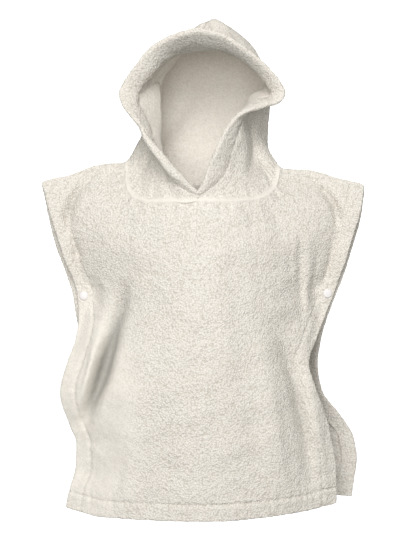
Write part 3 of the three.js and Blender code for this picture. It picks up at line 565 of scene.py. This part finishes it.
def thickness(inset, hem):
    return mix(HEM_THICK, CLOTH_THICK, smooth((inset - hem) / HEM_STEP))


def round_edge(thick, inset):
    """Half the thickness of a wall whose free edge is half round."""
    near = clamp01(inset / (0.5 * thick))
    return 0.5 * thick * np.sqrt(np.maximum(1 - (1 - near) ** 2, 0.01))


def hood_lengths(form):
    """Length of the cloth from the rim to the neck, by the share of the way round the rim."""
    u = np.linspace(0, 1, 60)
    v = np.linspace(0, 1, 40)[:, None]
    points = form(np.broadcast_to(u, (40, 60)), np.broadcast_to(v, (40, 60)))
    lengths = np.linalg.norm(np.diff(points, axis=0), axis=-1).sum(0)
    return lambda at: np.interp(at, u, lengths)


def hood_form(side):
    """A hood half between its rim, its half of the neckline, its short edge at the throat and the crown."""
    rim = RIM[side]
    folds = HOOD_FOLDS[side] + HOOD_CREASES[side]

    def on(rows, along):
        return np.stack([rows.x(along), rows.y(along), rows.z(along)], -1)

    brow, nape = on(HOOD_SEAM, 0.0), on(HOOD_SEAM, 1.0)

    def sheet(u, v):
        us, vs = u[..., None], v[..., None]
        point = on(rim, u) * (1 - vs) + neck_points(side, u) * vs + on(HOOD_SEAM, v) * us
        point = point - brow * us * (1 - vs) - nape * us * vs
        away = unit(point[..., :2] - np.array(HOOD_AXIS))
        behind = np.maximum(0, away[..., 1])
        round_u = np.sin(np.pi * u)
        out = HOOD_BACK_FULLNESS * behind * round_u * np.sin(np.pi * v)
        fall = HOOD_SIDE_FALL * away[..., 0] ** 2 * (1 - behind) * smooth((u - CHEEK_FULL) / CHEEK_FADE)
        out = out - fall * round_u * np.maximum(np.sin(np.pi * v**HOOD_FALL_LOW), 0) ** 0.8
        inside = smooth(v / FOLD_FADE) * smooth((1 - v) / FOLD_FADE)
        for start, end, share0, share1, depth, width in folds:
            t = clamp01((u - start) / (end - start))
            across = (v - mix(share0, share1, t)) / width
            out = out - depth * inside * np.sin(np.pi * t) ** 0.8 * bell(across)
        point[..., :2] += away * out[..., None]
        return point

    length = hood_lengths(sheet)

    def at(u, v):
        point = sheet(u, v)
        inset = v * length(u)
        flare = RIM_FLARE[side]
        deep = flare.deep(u)
        back = mix(FLARE_BACK_LOW, FLARE_BACK, smooth((u - FLARE_LOW_TO) / FLARE_CHANGE))
        drawn_in = np.sin(0.5 * np.pi * clamp01(inset / deep))
        share = drawn_in * (1 - smooth((inset - deep - FLARE_REST) / back))
        outward = unit(point[..., ::2] - np.array(FACE_MIDDLE))
        point[..., ::2] -= (flare.reach(u) * share)[..., None] * outward
        point[..., 1] -= flare.forward(u) * share
        return point

    return at


def hood_normals(form, u, v, turn, probe=0.004):
    across = form(np.minimum(1, u + probe), v) - form(np.maximum(0, u - probe), v)
    down = form(u, np.minimum(1, v + probe)) - form(u, np.maximum(0, v - probe))
    return turn * unit(np.cross(across, down))


def hood_places(form):
    """Shares across and down a hood half at its points, and the distance from the rim along the cloth."""
    u = np.concatenate([
        np.linspace(0, SHOULDER_AT, NECK_FRONT_CELLS + 1),
        np.linspace(SHOULDER_AT, 1, NECK_BACK_CELLS + 1)[1:],
    ])
    probes = np.linspace(0, 1, 160) ** 1.5
    grid_u, grid_v = np.broadcast_arrays(u, probes[:, None])
    steps = np.linalg.norm(np.diff(form(grid_u, grid_v), axis=0), axis=-1)
    along = np.concatenate([0 * u[None], np.cumsum(steps, axis=0)])
    length = along[-1]
    rim = stations(HOOD_HEM + HEM_STEP + 2, True, HOOD_HEM)
    rows = int(length.max() / CELL) - 8
    rest = np.linspace(0, 1, rows)[1:]
    v = np.empty((len(rim) + len(rest), len(u)))
    inset = np.empty_like(v)
    for c in range(len(u)):
        scale = min(1, 0.5 * length[c] / rim[-1])
        inset[:, c] = np.concatenate([rim, mix(rim[-1], length[c] / scale, rest)])
        v[:, c] = np.interp(inset[:, c] * scale, along[:, c], probes)
    v[-1] = 1
    return np.broadcast_to(u, v.shape).copy(), v, inset, length


def hood_relief(u, v, inset, length, seed):
    """How far the rolled hem and small creases lift the hood's cloth."""
    along = u * HOOD_ROUND
    down = v * length
    relief = RIPPLE * ripple(along, down, seed, 90, 30)
    relief += FINE_RIPPLE * ripple(along, down, seed + 1, 22, 9)
    relief += RIM_ROLL * np.sin(np.pi * clamp01(inset / HOOD_HEM)) ** 0.7
    relief += groove(inset, HOOD_HEM) * 0.7
    relief += RIM_PUCKER * pucker(along, inset - HOOD_HEM, 10, seed + 2)
    to_neck = (1 - v) * length
    relief += NECK_PUCKER * pucker(along, to_neck - 4, 12, seed + 3)
    to_seams = np.minimum(u, 1 - u) * HOOD_SPAN
    return relief * smooth(np.minimum(to_neck, to_seams) / 6)


# Patches where the pile lies flatter, as seen from the front: x and z of the middle, half the width and
# height, how flat it lies, and whether the patch is on the inner face of the cloth
FLAT_PATCHES = [
    (-150, -330, 62, 150, 0.72, False),
    (10, 90, 110, 110, 0.6, True),
    (0, 180, 70, 40, 0.3, False),
]
FLAT_CORE = 0.6
FLAT_FADE = 0.8

met = {}


def place_name(point):
    return tuple(np.round(point, 1))


def seam_cells(rows, columns):
    for c in range(columns):
        yield 0, c
        yield rows - 1, c
    for r in range(1, rows - 1):
        yield r, 0
        yield r, columns - 1


def note_edges(points, normals):
    """Remembers the normals of the pieces that meet at a place on their edges."""
    for r, c in seam_cells(*points.shape[:2]):
        met.setdefault(place_name(points[r, c]), []).append(normals[r, c])


def shared_normals(points, normals):
    """The normals, with the same one for every piece that meets at a place."""
    shared = normals.copy()
    for r, c in seam_cells(*points.shape[:2]):
        shared[r, c] = unit(np.sum(met.get(place_name(points[r, c]), [normals[r, c]]), axis=0))
    return shared


def mitred(points, normals, thick):
    """Steps from the outer to the inner face, one thickness inside every piece that meets at a place."""
    steps = -normals * thick[..., None]
    for r, c in seam_cells(*points.shape[:2]):
        sides = met.get(place_name(points[r, c]), [])
        if len(sides) < 2:
            continue
        size = thick[r, c]
        step = -size * unit(np.sum(sides, axis=0))
        for _ in range(12):
            for n in sides:
                step = step - 0.5 * (size + step @ n) * n
        longest = 1.5 * size
        steps[r, c] = step * min(1, longest / np.linalg.norm(step))
    return steps


def value_noise(points, size, seed):
    """Three channels of smooth noise that depend only on the place, so that pieces still meet."""
    draws = np.random.default_rng(seed).uniform(-1, 1, (4096, 3))
    scaled = points / size
    cell = np.floor(scaled).astype(np.int64)
    t = scaled - cell
    t = t * t * (3 - 2 * t)
    total = np.zeros_like(points)
    for corner in np.ndindex(2, 2, 2):
        place = cell + np.array(corner)
        number = place[..., 0] * 73856093 ^ place[..., 1] * 19349663 ^ place[..., 2] * 83492791
        share = np.where(np.array(corner) == 1, t, 1 - t).prod(-1)
        total += draws[number & 4095] * share[..., None]
    return total


def pile(points, nap):
    """The loops' own unevenness."""
    coarse = value_noise(points, 2 * PILE_SIZE, SEED + 1)
    noise = value_noise(points, PILE_SIZE, SEED) + COARSE_PILE * coarse
    return PILE_RELIEF * nap[..., None] * noise


def standing_nap(points, inner):
    """How upright the loops stand: 1 where they are full, less where the pile lies flat."""
    flattened = np.zeros(points.shape[:-1])
    for x, z, width, height, flat, is_inner in FLAT_PATCHES:
        if inner == is_inner:
            reach = np.hypot((points[..., 0] - x) / width, (points[..., 2] - z) / height)
            flattened = np.maximum(flattened, flat * (1 - smooth((reach - FLAT_CORE) / FLAT_FADE)))
    return 1 - flattened


def rim_painted_shade(u, inset):
    """How strongly shade is painted where the hood's hem rolls under above the face."""
    above_face = smooth((u - RIM_PAINTED_SHADE_FROM) / RIM_PAINTED_SHADE_FADE)
    return RIM_PAINTED_SHADE * above_face * smooth((inset - 3) / 5) * (1 - smooth((inset - 38) / 14))


def grid_faces(rows, columns):
    """Faces of a closed wall between a grid of outer points and the grid of inner points behind it."""
    number = np.arange(rows * columns).reshape(rows, columns)
    a, b = number[:-1, :-1], number[1:, :-1]
    c, d = number[1:, 1:], number[:-1, 1:]
    outer = np.stack([a, b, c, d], -1).reshape(-1, 4)
    inner = outer[:, ::-1] + rows * columns
    ring = np.concatenate([number[0, :], number[1:, -1], number[-1, -2::-1], number[-2:0:-1, 0]])
    following = np.roll(ring, -1)
    behind = rows * columns
    ends = np.stack([ring, following, following + behind, ring + behind], -1)
    return np.concatenate([outer, inner, ends])


def signed_volume(points, faces):
    first, second, third, fourth = (points[faces[:, i]] for i in range(4))
    one = np.einsum("ij,ij->i", first, np.cross(second, third))
    two = np.einsum("ij,ij->i", first, np.cross(third, fourth))
    return (one + two).sum() / 6


def sharpen(mesh, corners):
    """Keeps the shading of a wall's faces apart from that of its end faces along the marked points."""
    ends = np.empty(2 * len(mesh.edges), int)
    mesh.edges.foreach_get("vertices", ends)
    marked = corners[ends].reshape(-1, 2).all(-1)
    mesh.attributes.new("sharp_edge", "BOOLEAN", "EDGE").data.foreach_set("value", marked)


def mesh_object(name, points, faces, material):
    """A smooth mesh from points in millimetres."""
    mesh = bpy.data.meshes.new(name)
    mesh.from_pydata((points * MM).tolist(), [], faces)
    mesh.polygons.foreach_set("use_smooth", np.ones(len(mesh.polygons), bool))
    mesh.materials.append(material)
    mesh.update()
    piece = bpy.data.objects.new(name, mesh)
    bpy.context.scene.collection.objects.link(piece)
    return piece


def wall(name, outer, inner, sewn, material):
    points = np.concatenate([outer.reshape(-1, 3), inner.reshape(-1, 3)])
    faces = grid_faces(*outer.shape[:2])
    if signed_volume(points, faces) < 0:
        faces = faces[:, ::-1]
    piece = mesh_object(name, points, faces.tolist(), material)
    sharpen(piece.data, np.tile(sewn.ravel(), 2))
    return piece


def node_tree(name):
    material = bpy.data.materials.new(name)
    material.use_nodes = True
    nodes, links = material.node_tree.nodes, material.node_tree.links
    return material, nodes, links, nodes["Principled BSDF"]


def add_node(nodes, kind, **values):
    node = nodes.new(kind)
    for key, value in values.items():
        if key in node.inputs:
            node.inputs[key].default_value = value
        else:
            setattr(node, key, value)
    return node


def ramp(nodes, links, source, low, high, dark, light):
    node = nodes.new("ShaderNodeValToRGB")
    node.color_ramp.elements[0].position = low
    node.color_ramp.elements[1].position = high
    node.color_ramp.elements[0].color = (*dark, 1)
    node.color_ramp.elements[1].color = (*light, 1)
    links.new(source, node.inputs["Fac"])
    return node.outputs["Color"]


def colour_socket(sockets, name):
    return next(socket for socket in sockets if socket.name == name and socket.type == "RGBA")


def feed(links, value, socket):
    """Gives a socket a number, a colour or another node's result."""
    if isinstance(value, bpy.types.NodeSocket):
        links.new(value, socket)
    elif isinstance(value, tuple):
        socket.default_value = (*value, 1)
    else:
        socket.default_value = value


def blend_colours(nodes, links, kind, share, one, two):
    node = nodes.new("ShaderNodeMix")
    node.data_type = "RGBA"
    node.blend_type = kind
    feed(links, share, node.inputs["Factor"])
    feed(links, one, colour_socket(node.inputs, "A"))
    feed(links, two, colour_socket(node.inputs, "B"))
    return colour_socket(node.outputs, "Result")


LOOP_SIZE = 2.5  # millimetres from one terry loop to the next
TUFT_SIZE = 5.5
CLOUD_SIZE = 38.0
PAINTED_SHADE_TONE = (0.52, 0.53, 0.53)  # share of its colour that the cloth keeps under the painted shade in deep folds and under the hood's rim
PAINTED_SHADE_DEPTH = 20.0  # depth of a fold at which its painted shade is full
RIM_PAINTED_SHADE = 0.7  # strength of the shade painted where the hood's hem rolls under above the face
RIM_PAINTED_SHADE_FROM = 0.62
RIM_PAINTED_SHADE_FADE = 0.3
SMOOTH_TONE = (0.9, 0.89, 0.875)  # share of its light that pile keeps where it lies flat


def terry_material():
    """Looped cotton pile: grains of shade between the loops, tufts, a soft sheen, and shade painted into
    deep folds and under the hood's rim.
    """
    material, nodes, links, shader = node_tree("terry_cloth")
    place = nodes.new("ShaderNodeTexCoord").outputs["Object"]
    loops = add_node(nodes, "ShaderNodeTexVoronoi", Scale=1 / (LOOP_SIZE * MM), Randomness=1.0)
    fibres = add_node(nodes, "ShaderNodeTexNoise", Scale=1 / (0.7 * MM), Detail=2.0, Roughness=0.6)
    tufts = add_node(nodes, "ShaderNodeTexNoise", Scale=1 / (TUFT_SIZE * MM), Detail=3.0, Roughness=0.65)
    clouds = add_node(nodes, "ShaderNodeTexNoise", Scale=1 / (CLOUD_SIZE * MM), Detail=2.0, Roughness=0.5)
    for texture in (loops, fibres, tufts, clouds):
        links.new(place, texture.inputs["Vector"])
    nap = add_node(nodes, "ShaderNodeAttribute", attribute_name="nap").outputs["Fac"]
    grain = ramp(nodes, links, loops.outputs["Distance"], 0.1, 0.85, (1, 1, 1), (0.7, 0.68, 0.65))
    grain = blend_colours(nodes, links, "MIX", nap, SMOOTH_TONE, grain)
    mottle = ramp(nodes, links, tufts.outputs["Fac"], 0.35, 0.66, (0.935, 0.93, 0.915), (1, 1, 1))
    tone = ramp(nodes, links, clouds.outputs["Fac"], 0.3, 0.7, (0.93, 0.885, 0.83), (0.945, 0.91, 0.855))
    colour = blend_colours(nodes, links, "MULTIPLY", 1.0, tone, grain)
    colour = blend_colours(nodes, links, "MULTIPLY", 1.0, colour, mottle)
    # Painted shade: the colour is darkened in deep folds and under the hood's rim, as far as a vertex
    # attribute says
    painted_shade = add_node(nodes, "ShaderNodeAttribute", attribute_name="painted_shade").outputs["Fac"]
    colour = blend_colours(nodes, links, "MULTIPLY", painted_shade, colour, PAINTED_SHADE_TONE)
    links.new(colour, shader.inputs["Base Color"])
    tuft_bump = add_node(nodes, "ShaderNodeBump", Distance=0.0009)
    links.new(tufts.outputs["Fac"], tuft_bump.inputs["Height"])
    links.new(nap, tuft_bump.inputs["Strength"])
    loop_bump = add_node(nodes, "ShaderNodeBump", Distance=0.0011, invert=True)
    links.new(loops.outputs["Distance"], loop_bump.inputs["Height"])
    links.new(nap, loop_bump.inputs["Strength"])
    links.new(tuft_bump.outputs["Normal"], loop_bump.inputs["Normal"])
    fibre_bump = add_node(nodes, "ShaderNodeBump", Strength=0.3, Distance=0.0005)
    links.new(fibres.outputs["Fac"], fibre_bump.inputs["Height"])
    links.new(loop_bump.outputs["Normal"], fibre_bump.inputs["Normal"])
    links.new(fibre_bump.outputs["Normal"], shader.inputs["Normal"])
    shader.inputs["Roughness"].default_value = 0.95
    shader.inputs["Specular IOR Level"].default_value = 0.15
    shader.inputs["Sheen Weight"].default_value = 0.18
    shader.inputs["Sheen Roughness"].default_value = 0.6
    shader.inputs["Sheen Tint"].default_value = (1.0, 0.98, 0.94, 1)
    return material


def thread_material():
    material, nodes, links, shader = node_tree("sewing_thread")
    place = nodes.new("ShaderNodeTexCoord").outputs["Object"]
    twist = add_node(nodes, "ShaderNodeTexNoise", Scale=1 / (0.5 * MM), Detail=1.0)
    links.new(place, twist.inputs["Vector"])
    colour = ramp(nodes, links, twist.outputs["Fac"], 0.3, 0.7, (0.70, 0.66, 0.59), (0.84, 0.80, 0.74))
    links.new(colour, shader.inputs["Base Color"])
    shader.inputs["Roughness"].default_value = 0.7
    return material


def snap_material():
    """Moulded white plastic, slightly uneven where it left its mould."""
    material, nodes, links, shader = node_tree("snap_plastic")
    place = nodes.new("ShaderNodeTexCoord").outputs["Object"]
    skin = add_node(nodes, "ShaderNodeTexNoise", Scale=1 / (1.8 * MM), Detail=2.0)
    links.new(place, skin.inputs["Vector"])
    colour = ramp(nodes, links, skin.outputs["Fac"], 0.3, 0.7, (0.77, 0.735, 0.73), (0.81, 0.775, 0.77))
    links.new(colour, shader.inputs["Base Color"])
    bump = add_node(nodes, "ShaderNodeBump", Strength=0.08, Distance=0.0002)
    links.new(skin.outputs["Fac"], bump.inputs["Height"])
    links.new(bump.outputs["Normal"], shader.inputs["Normal"])
    shader.inputs["Roughness"].default_value = 0.42
    return material


terry = terry_material()
thread = thread_material()
plastic = snap_material()


def build_panel(name, form, bottom, lowest, seed):
    places = panel_places(form, bottom, lowest)
    x, z = places.x, places.z
    y = form.y(x, z)
    y[0] = places.top[:, 1]
    base = np.stack([x, y, z], -1)
    normals = form.normal(x, z)
    neck_line = places.neck[:, [0, 2]]
    neck_gap, neck_along = line_distance(np.stack([x, z], -1), neck_line)
    relief = panel_relief(x, z, places.side, places.rise, neck_gap, neck_along, seed)
    ridge = SEAM_RIDGE * bell(neck_gap / RIDGE_WIDTH)
    inset = np.minimum(places.side, places.rise)
    hem = np.where(places.side < places.rise, SIDE_HEM, BOTTOM_HEM)
    # Painted shade: the deeper the folds at a place, the darker its colour is drawn
    return SimpleNamespace(
        name=name, base=base, normals=normals, relief=relief, inset=inset,
        thick=thickness(inset, hem), facing=form.facing, extra=0 * relief, places=places,
        under=UNDER_SHARE * relief, ridge=ridge, painted_shade=clamp01(form.depth(x, z) / PAINTED_SHADE_DEPTH) ** 2,
    )


def build_hood(name, side, turn, seed):
    form = hood_form(side)
    u, v, inset, length = hood_places(form)
    base = form(u, v)
    normals = hood_normals(form, u, v, turn)
    relief = hood_relief(u, v, inset, length, seed)
    swell = RIM_ROLL * np.sin(np.pi * clamp01(inset / HOOD_HEM)) ** 0.7
    ridge = SEAM_RIDGE * bell((1 - v) * length / RIDGE_WIDTH)
    # Painted shade where the hem rolls under at the top of the face opening
    return SimpleNamespace(
        name=name, base=base, normals=normals, relief=relief, inset=inset,
        thick=thickness(inset, HOOD_HEM), facing=0, extra=2 * swell, places=None,
        under=UNDER_SHARE * relief + 1.2 * bell((inset - HOOD_HEM) / 2.5), ridge=ridge,
        painted_shade=rim_painted_shade(u, inset),
    )


def finish_wall(piece):
    """Turns a piece's outer points into its closed wall."""
    steps = mitred(piece.base, piece.normals, piece.thick + piece.extra)
    lifted = piece.ridge[..., None] * shared_normals(piece.base, piece.normals)
    half = round_edge(piece.thick + piece.extra, piece.inset)
    full = 0.5 * (piece.thick + piece.extra)
    sunk = clamp01((1 - half / full) / 2)[..., None]
    outer = piece.base + piece.relief[..., None] * piece.normals + steps * sunk + lifted
    inner = piece.base + piece.under[..., None] * piece.normals + steps * (1 - sunk)
    parted = 1 - clamp01(piece.ridge / SEAM_RIDGE)
    rim = 0 if piece.facing else 1 - smooth((piece.inset - HOOD_HEM) / 4)
    outer_nap = np.maximum(standing_nap(outer, False), rim) * parted
    inner_nap = np.maximum(standing_nap(inner, True), rim)
    outer += pile(outer, outer_nap)
    inner += pile(inner, inner_nap)
    if piece.facing:
        inner[..., 1] = piece.facing * np.maximum(piece.facing * inner[..., 1], SEAM_GAP / 2)
    sewn = np.zeros(piece.inset.shape, bool)
    if piece.facing:
        sewn[0] = True
    else:
        sewn[-1] = sewn[:, 0] = sewn[:, -1] = True
    made = wall(piece.name, outer, inner, sewn, terry)
    # The nap and the painted shade in folds and under the rim are stored on the points for the material
    for name, values in (("nap", (outer_nap, inner_nap)), ("painted_shade", (piece.painted_shade, piece.painted_shade))):
        layer = made.data.attributes.new(name, "FLOAT", "POINT")
        layer.data.foreach_set("value", np.concatenate([part.ravel() for part in values]))
    return made, outer, inner


panels = [
    build_panel("front_cloth", front_form, FRONT_BOTTOM, LOWEST["front"], SEED),
    build_panel("back_cloth", back_form, BACK_BOTTOM, LOWEST["back"], SEED + 20),
]
hoods = [
    build_hood("hood_left_cloth", "left", 1, SEED + 40),
    build_hood("hood_right_cloth", "right", -1, SEED + 60),
]
for piece in panels + hoods:
    note_edges(piece.base, piece.normals)

# Each cloth piece's node, and the piece laid flat as it shows, hems turned: width and length in metres,
# and area in square metres
CUTS = {
    "front_cloth": SimpleNamespace(node="front_panel", flat=(0.49, 0.50), area=0.191),
    "back_cloth": SimpleNamespace(node="back_panel", flat=(0.48, 0.49), area=0.1915),
    "hood_left_cloth": SimpleNamespace(node="hood_left", flat=(0.30, 0.33), area=0.058),
    "hood_right_cloth": SimpleNamespace(node="hood_right", flat=(0.30, 0.33), area=0.059),
}

# Stitches: how far apart they are, and the thread's radius at places along one, from its middle
STITCH_PITCH = 3.6
STITCH_PROFILE = [(-1.45, 0.08), (-1.1, 0.26), (-0.4, 0.34), (0.4, 0.34), (1.1, 0.26), (1.45, 0.08)]
STITCH_SIDES = 6
STITCH_LIFT = 0.12


def stitch_line(points, normals):
    """Stitches along a line of places on the cloth, as points and faces of one mesh."""
    steps = np.linalg.norm(np.diff(points, axis=0), axis=1)
    along = np.concatenate([[0], np.cumsum(steps)])
    stops = np.arange(0.5 * STITCH_PITCH, along[-1], STITCH_PITCH)

    def pick(rows, places):
        return np.stack([np.interp(places, along, rows[:, i]) for i in range(3)], -1)

    at = pick(points, stops)
    way = unit(pick(points, stops + 1) - pick(points, stops - 1))
    across = unit(np.cross(way, unit(pick(normals, stops))))
    up = np.cross(across, way)
    turn = np.linspace(0, 2 * np.pi, STITCH_SIDES, endpoint=False)
    rings = []
    for reach, radius in STITCH_PROFILE:
        round_way = radius * (np.cos(turn)[:, None, None] * across + np.sin(turn)[:, None, None] * up)
        rings.append(at + way * reach + up * STITCH_LIFT + round_way)
    grid = np.moveaxis(np.array(rings), 2, 0)
    count, depth = grid.shape[0], len(STITCH_PROFILE)
    size = depth * STITCH_SIDES
    number = np.arange(size).reshape(depth, STITCH_SIDES)
    after = np.roll(number, -1, axis=1)
    sides = np.stack([number[:-1], number[1:], after[1:], after[:-1]], -1).reshape(-1, 4)
    faces = (sides[None] + size * np.arange(count)[:, None, None]).reshape(-1, 4)
    half = STITCH_SIDES // 2
    ends = []
    for ring in (0, depth - 1):
        loop = number[ring]
        for i in range(1, half):
            ends.append([loop[i - 1], loop[i], loop[-i - 1], loop[-i]])
    ends = (np.array(ends)[None] + size * np.arange(count)[:, None, None]).reshape(-1, 4)
    return grid.reshape(-1, 3), np.concatenate([faces, ends])


def hem_lines(piece, outer, inner):
    """Rows and columns of a piece's points that its hems are stitched along."""
    if piece.facing:
        column = int(np.argmin(np.abs(HEM_STATIONS - SIDE_HEM)))
        row = int(np.argmin(np.abs(piece.places.rise[:, outer.shape[1] // 2] - BOTTOM_HEM)))
        down = slice(1, row + 1)
        across = slice(column, outer.shape[1] - column)
        picks = [(down, column), (down, outer.shape[1] - 1 - column), (row, across)]
    else:
        row = int(np.argmin(np.abs(piece.inset[:, 0] - HOOD_HEM)))
        picks = [(row, slice(0, outer.shape[1]))]
    for pick in picks:
        yield outer[pick], piece.normals[pick]
        yield inner[pick], -piece.normals[pick]


def stitches(piece, outer, inner):
    """The stitching that holds a piece's hems, on both faces of the cloth."""
    points, faces, count = [], [], 0
    for line, normals in hem_lines(piece, outer, inner):
        some_points, some_faces = stitch_line(line, normals)
        points.append(some_points)
        faces.append(some_faces + count)
        count += len(some_points)
    name = f"{CUTS[piece.name].node}_stitches"
    return mesh_object(name, np.concatenate(points), np.concatenate(faces).tolist(), thread)


for piece in panels + hoods:
    cut = CUTS[piece.name]
    made, outer, inner = finish_wall(piece)
    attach(made, "root")
    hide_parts(cut.node)
    sewing = stitches(piece, outer, inner)
    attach(sewing, "root")


def lathe(name, profile, centre, sign, material, sides=48):
    """A turned piece whose axis points out of the front (-1) or the back (1) of the garment."""
    turn = np.linspace(0, 2 * np.pi, sides, endpoint=False)
    rings = [
        np.stack([radius * np.cos(turn), np.full(sides, sign * height), radius * np.sin(turn)], -1)
        for radius, height in profile
    ]
    points = np.concatenate(rings + [[[0, sign * profile[0][1], 0]], [[0, sign * profile[-1][1], 0]]])
    faces = []
    for ring in range(len(profile) - 1):
        low, high = ring * sides, (ring + 1) * sides
        for i in range(sides):
            j = (i + 1) % sides
            faces.append([low + i, low + j, high + j, high + i])
    first, last = len(points) - 2, len(points) - 1
    top = (len(profile) - 1) * sides
    for i in range(sides):
        j = (i + 1) % sides
        faces.append([first, j, i])
        faces.append([last, top + i, top + j])
    return mesh_object(name, points + np.array(centre), faces, material)


CAP_PROFILE = [
    (CAP_RADIUS - 0.5, 0.0),
    (CAP_RADIUS - 0.1, 0.15),
    (CAP_RADIUS, 0.5),
    (CAP_RADIUS - 0.05, 0.95),
    (CAP_RADIUS - 0.35, 1.4),
    (CAP_RADIUS - 0.9, 1.68),
    (CAP_RADIUS * 0.7, 1.86),
    (CAP_RADIUS * 0.5, 1.98),
    (CAP_RADIUS * 0.25, 2.07),
    (0.4, CAP_HEIGHT),
]
seat = SNAP_PLAY + HEM_THICK + SNAP_GAP
for side, (snap_x, snap_z) in SNAPS.items():
    for name, sign in (("snap_cap", -1), ("snap_back_cap", 1)):
        node = f"{name}_{side}"
        cap = lathe(f"{node}_disc", CAP_PROFILE, (snap_x, sign * seat, snap_z), sign, plastic)
        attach(cap, "root")
        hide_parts(node)
    for name in ("snap_socket", "snap_stud"):
        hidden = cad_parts[f"{name}_{side}"].data
        hidden.materials.clear()
        hidden.materials.append(plastic)


def light(name, place, target, size, power, colour=(1, 1, 1)):
    data = bpy.data.lights.new(name, "AREA")
    data.shape = "DISK"
    data.size = size
    data.energy = power
    data.color = colour
    lamp = bpy.data.objects.new(name, data)
    bpy.context.scene.collection.objects.link(lamp)
    lamp.location = place
    lamp.rotation_euler = (Vector(target) - Vector(place)).to_track_quat("-Z", "Y").to_euler()
    return lamp


def stage_material(name, brightness):
    material, nodes, links, shader = node_tree(name)
    shader.inputs["Base Color"].default_value = (0.9, 0.9, 0.9, 1)
    shader.inputs["Emission Color"].default_value = (1, 1, 1, 1)
    shader.inputs["Emission Strength"].default_value = brightness
    return material


FLOOR_HEIGHT = -0.62
ROOM = 30.0
bpy.ops.mesh.primitive_plane_add(size=2 * ROOM, location=(0, 0, FLOOR_HEIGHT))
floor = bpy.context.object
floor.name = "floor"
bpy.ops.mesh.primitive_uv_sphere_add(segments=48, ring_count=24, radius=ROOM, location=(0, 0, 0))
backdrop = bpy.context.object
backdrop.name = "backdrop"
for part in (floor, backdrop):
    part.data.materials.append(stage_material(part.name, 1.2))
    part.visible_diffuse = False
    part.visible_glossy = False
    part.visible_transmission = False
    part.visible_shadow = False

world = bpy.data.worlds.new("studio")
bpy.context.scene.world = world
world.use_nodes = True
world.node_tree.nodes["Background"].inputs["Color"].default_value = (0.98, 1.0, 0.96, 1)
world.node_tree.nodes["Background"].inputs["Strength"].default_value = 0.32

light("key", (-0.1, -2.3, 1.3), (0, 0, -0.12), 1.4, 40, (1, 0.99, 0.98))
light("fill", (-0.35, -3.1, 0.05), (0, 0, -0.1), 1.6, 40)

CAMERA_PLACE = (0.0096, -2.0, -0.140)
LENS = 97.33
camera_data = bpy.data.cameras.new("camera")
camera_data.lens = LENS
camera_data.sensor_width = 36
camera_data.clip_end = 100
camera = bpy.data.objects.new("camera", camera_data)
bpy.context.scene.collection.objects.link(camera)
camera.location = CAMERA_PLACE
camera.rotation_euler = (np.pi / 2, 0, 0)
bpy.context.scene.camera = camera
bpy.context.scene.view_settings.view_transform = "Standard"
